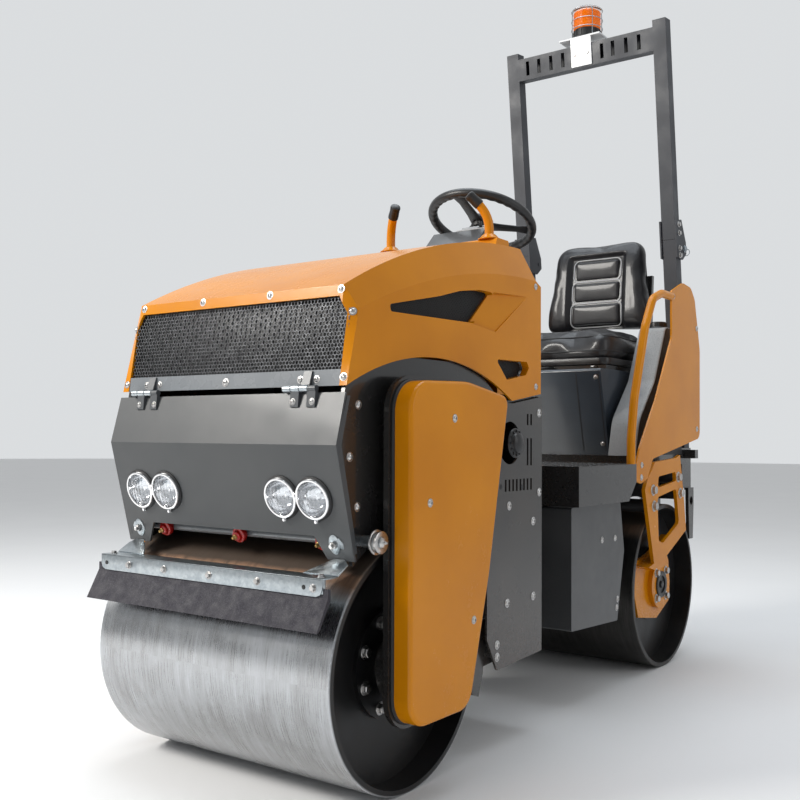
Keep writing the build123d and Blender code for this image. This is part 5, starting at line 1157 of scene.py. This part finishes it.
def dress_cushion():
    """Thick cushion with raised sides and a rolled front edge, on a black pan."""
    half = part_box("seat_cushion")[1][0] / MM
    cushion = brick((-half + 13, 1388, 1062), (half - 13, 1722, 1163), 30, 4)
    modified(cushion, "REMESH", mode="VOXEL", voxel_size=0.008)
    for vertex in cushion.data.vertices:
        x, y, z = abs(vertex.co.x) / MM, (vertex.co.y - FRONT_AXLE) / MM, vertex.co.z / MM
        top = ease(z, 1090, 1160)
        rise = top * (10 * ease(x, 120, 190) - 5 * (1 - ease(x, 60, 130)) - 16 * (1 - ease(y, 1390, 1480))
                      + 8 * ease(y, 1640, 1712))
        vertex.co.z += rise * MM
        narrow = 1 - 0.045 * (1 - ease(y, 1388, 1450))
        vertex.co.x *= narrow
    cushion = puffed(cushion, 5.5, 22, smooth=45)
    cushion = modified(cushion, "SUBSURF", levels=1, render_levels=1)
    settled(coated(cushion, VINYL), "cushion_cover", "rear_frame", "seat_vinyl", "seat_cushion", angle=80)
    middle = at(0, 1555, 0)
    bands = []
    for z, radius in ((1098, 2.6), (1150, 2.2)):
        starts = []
        for step in range(64):
            angle = 2 * math.pi * step / 64
            way = Vector((math.cos(angle) * 1.3, math.sin(angle), 0))
            starts.append((Vector((0, middle.y, z * MM)) + way * 0.6, -way))
        bands.append(skin_line(cushion, starts, radius))
    finished(bands, RUBBER, "cushion_welts", "rear_frame", "seat_vinyl")
    pan = [Vector((x * MM, FRONT_AXLE + y * MM, 1.048)) for x, y in
           rounded(((-218, 1384), (218, 1384), (218, 1726), (-218, 1726)), (34, 34, 22, 22))]
    settled(coated(plate(pan, (0, 0, 24), 3.0), PLASTIC), "cushion_pan", "rear_frame", "seat_vinyl")


def dress_backrest():
    """Backrest with a bolster round a hollow that holds three pads framed with grey piping."""
    foot, top = 1203.0, 1562.0
    corners = ((-216, foot), (216, foot), (217, foot + 90), (182, top), (-182, top), (-217, foot + 90))
    face = rounded(corners, (34, 34, 120, 62, 62, 120))
    back = plate([at(x, 1757, z) for x, z in face], (0, 58, 0), 17, 4)
    modified(back, "REMESH", mode="VOXEL", voxel_size=0.008)
    back = puffed(back, 5.5, 14, smooth=45)
    back = modified(back, "SUBSURF", levels=1, render_levels=1)

    def lean(z):
        return 26 * ease(z, foot, top + 20) + 14 * ease(z, 1440, 1600)

    for vertex in back.data.vertices:
        x, y, z = vertex.co.x / MM, (vertex.co.y - FRONT_AXLE) / MM, vertex.co.z / MM
        front = 1 - ease(y, 1752, 1790)
        hollow = (1 - ease(abs(x), 104, 128)) * (1 - ease(z, 1496, 1518)) * ease(z, 1205, 1222)
        wings = ease(abs(x), 130, 190) * 7
        vertex.co.y += (front * (17 * hollow - wings + 4) + lean(z)) * MM
    settled(coated(back, VINYL), "backrest_cover", "rear_frame", "seat_vinyl", "seat_back", angle=80)

    pads, loops = [], []
    for low, high, half in ((1412, 1488, 92), (1326, 1400, 96), (1232, 1314, 100)):
        y = 1757 + lean((low + high) / 2)
        pad = brick((-half, y - 3, low), (half, y + 20, high), 10, 4)
        pad = puffed(pad, 4.0, 9, 3.0, 8)
        pads.append(pad)
        frame_line = rounded_loop(half + 7, low - 6, high + 6, 22)
        loops.append(skin_line(back, [(at(x, 1600, z), BACK) for x, z in frame_line], 2.6, sink=0.5))
    pads = together(*pads)
    settled(coated(pads, VINYL), "backrest_pads", "rear_frame", "seat_vinyl", angle=80)
    finished(loops, PIPING, "backrest_piping", "rear_frame", "seat_vinyl")
    rear = plate([at(x * 0.9, 1836, foot + 18 + (z - foot) * 0.9) for x, z in face], (0, 6, 0), 2.4)
    for vertex in rear.data.vertices:
        vertex.co.y += lean(vertex.co.z / MM) * MM - 0.012
    settled(coated(rear, PLASTIC), "backrest_shell", "rear_frame", "seat_vinyl")


# ---------------------------------------------------------------- roll-over bar and beacon
def dress_rollbar():
    """Bolts, fold pins with their rings, and the screws of the beacon's bracket."""
    lean = math.tan(math.radians(6.7))
    line = 1753 + lean * 1390
    pairs = [(line - lean * z + 25, z) for z in (1588, 1556, 1500, 1474)]
    heads = landed_sides("rollbar_posts", pairs)
    settled(coated(spots(hex_bolt(8.5), heads), BOLT_STEEL), "fold_bracket_bolts", "rear_frame", "zinc_steel")
    hinge = JOINTS["bar_fold"]["pos_m"]
    pins, rings = [], []
    flank = max(abs(corner[0]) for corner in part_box("rollbar_posts"))
    for side in (-1, 1):
        tip = Vector((side * flank, hinge[1], hinge[2]))
        pins.append(set_on(turned([(0, 6), (9, 6), (11, 4.5), (11, 0.4), (14, 0), (14, -1.4), (0, -1.4)], 28), tip,
                           (side, 0, 0)))
        bpy.ops.object.select_all(action="DESELECT")
        bpy.ops.mesh.primitive_torus_add(major_radius=0.013, minor_radius=0.0013, major_segments=32, minor_segments=8)
        ring = bpy.context.object
        rings.append(set_on(ring, tip + Vector((side * 0.0035, 0.004, -0.013)), (0, 1, 0)))
    finished([*pins, *rings], ZINC, "fold_pins", "rear_frame", "zinc_steel")
    plate_spots = [landed("beacon_bracket", x, 1400, 2272, BACK) for x in (-32, 22)]
    settled(coated(spots(socket_screw(6.5), plate_spots), BOLT_STEEL), "beacon_bracket_bolts", "roll_over_bar",
            "zinc_steel")
    feet = [landed("rear_chassis", side * x, y, 900, DOWN) for side in (-1, 1) for x, y in ((250, 1810), (250, 1868))]
    settled(coated(spots(hex_bolt(10.0), feet), BOLT_STEEL), "beam_bolts", "rear_frame", "zinc_steel")


def dress_beacon():
    """Amber beacon: ribbed lens on a black foot, clear cap and a wire guard."""
    low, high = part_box("beacon_base")
    middle = Vector(((low[0] + high[0]) / 2, (low[1] + high[1]) / 2, low[2]))
    tall = (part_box("beacon_lens")[1][2] - low[2]) / MM
    wide = (high[0] - low[0]) / 2 / MM
    foot = turned([(0, 0), (wide, 0), (wide, 8), (wide - 3, 11), (wide - 8, 13), (wide - 9, 40), (wide - 13, 44),
                   (0, 44)], 48)
    for index in range(16):
        angle = index * math.pi / 8
        rib = brick((-2, wide - 12, 14), (2, wide - 6.5, 40), 0.8, 1)
        rib.data.transform(Matrix.Rotation(angle, 4, "Z") @ Matrix.Translation(-at(0, 0, 0)))
        foot = together(foot, rib)
    settled(coated(set_on(foot, middle), PLASTIC), "beacon_foot", "roll_over_bar", "black_plastic", "beacon_base")
    profile = [(0, 44), (wide - 13, 44)]
    step = (tall - 44 - 18) / 12
    for index in range(12):
        z = 46 + index * step
        profile += [(wide - 11.5, z), (wide - 9.5, z + step * 0.5)]
    profile += [(wide - 12, tall - 15), (wide - 16, tall - 12), (0, tall - 11)]
    lens = set_on(turned(profile, 56), middle)
    settled(coated(lens, AMBER), "beacon_ribbed_lens", "roll_over_bar", "amber_plastic", "beacon_lens")
    cap = set_on(turned([(0, tall - 10.6), (wide - 10, tall - 10.6), (wide - 2, tall - 12), (wide - 0.5, tall - 10),
                         (wide - 3, tall - 6), (wide - 12, tall - 2.2), (wide - 26, tall - 0.6), (0, tall - 0.3)], 56),
                 middle)
    settled(coated(cap, CLEAR), "beacon_cap", "roll_over_bar", "lamp_glass")
    wires = []
    for height in (tall * 0.36, tall * 0.62):
        bpy.ops.object.select_all(action="DESELECT")
        bpy.ops.mesh.primitive_torus_add(major_radius=(wide - 2.2) * MM, minor_radius=0.0016, major_segments=56,
                                         minor_segments=8, location=middle + Vector((0, 0, height * MM)))
        ring = bpy.context.object
        bpy.ops.object.transform_apply(location=True, rotation=True, scale=True)
        wires.append(ring)
    for index in range(4):
        angle = math.pi / 4 + index * math.pi / 2
        out = Vector((math.cos(angle), math.sin(angle), 0))
        wires.append(tube([middle + out * ((wide - 1.7) * MM) + Vector((0, 0, z * MM)) for z in (6, 40, 80, tall - 9)]
                          + [middle + out * ((wide - 12) * MM) + Vector((0, 0, (tall - 2.0) * MM))], 1.5))
    finished(wires, ZINC, "beacon_guard", "roll_over_bar", "zinc_steel")


dress_steering_wheel()
dress_levers()
dress_dashboard()
dress_deck()
dress_forks()
dress_fenders()
dress_pedestal()
dress_cushion()
dress_backrest()
dress_rollbar()
dress_beacon()
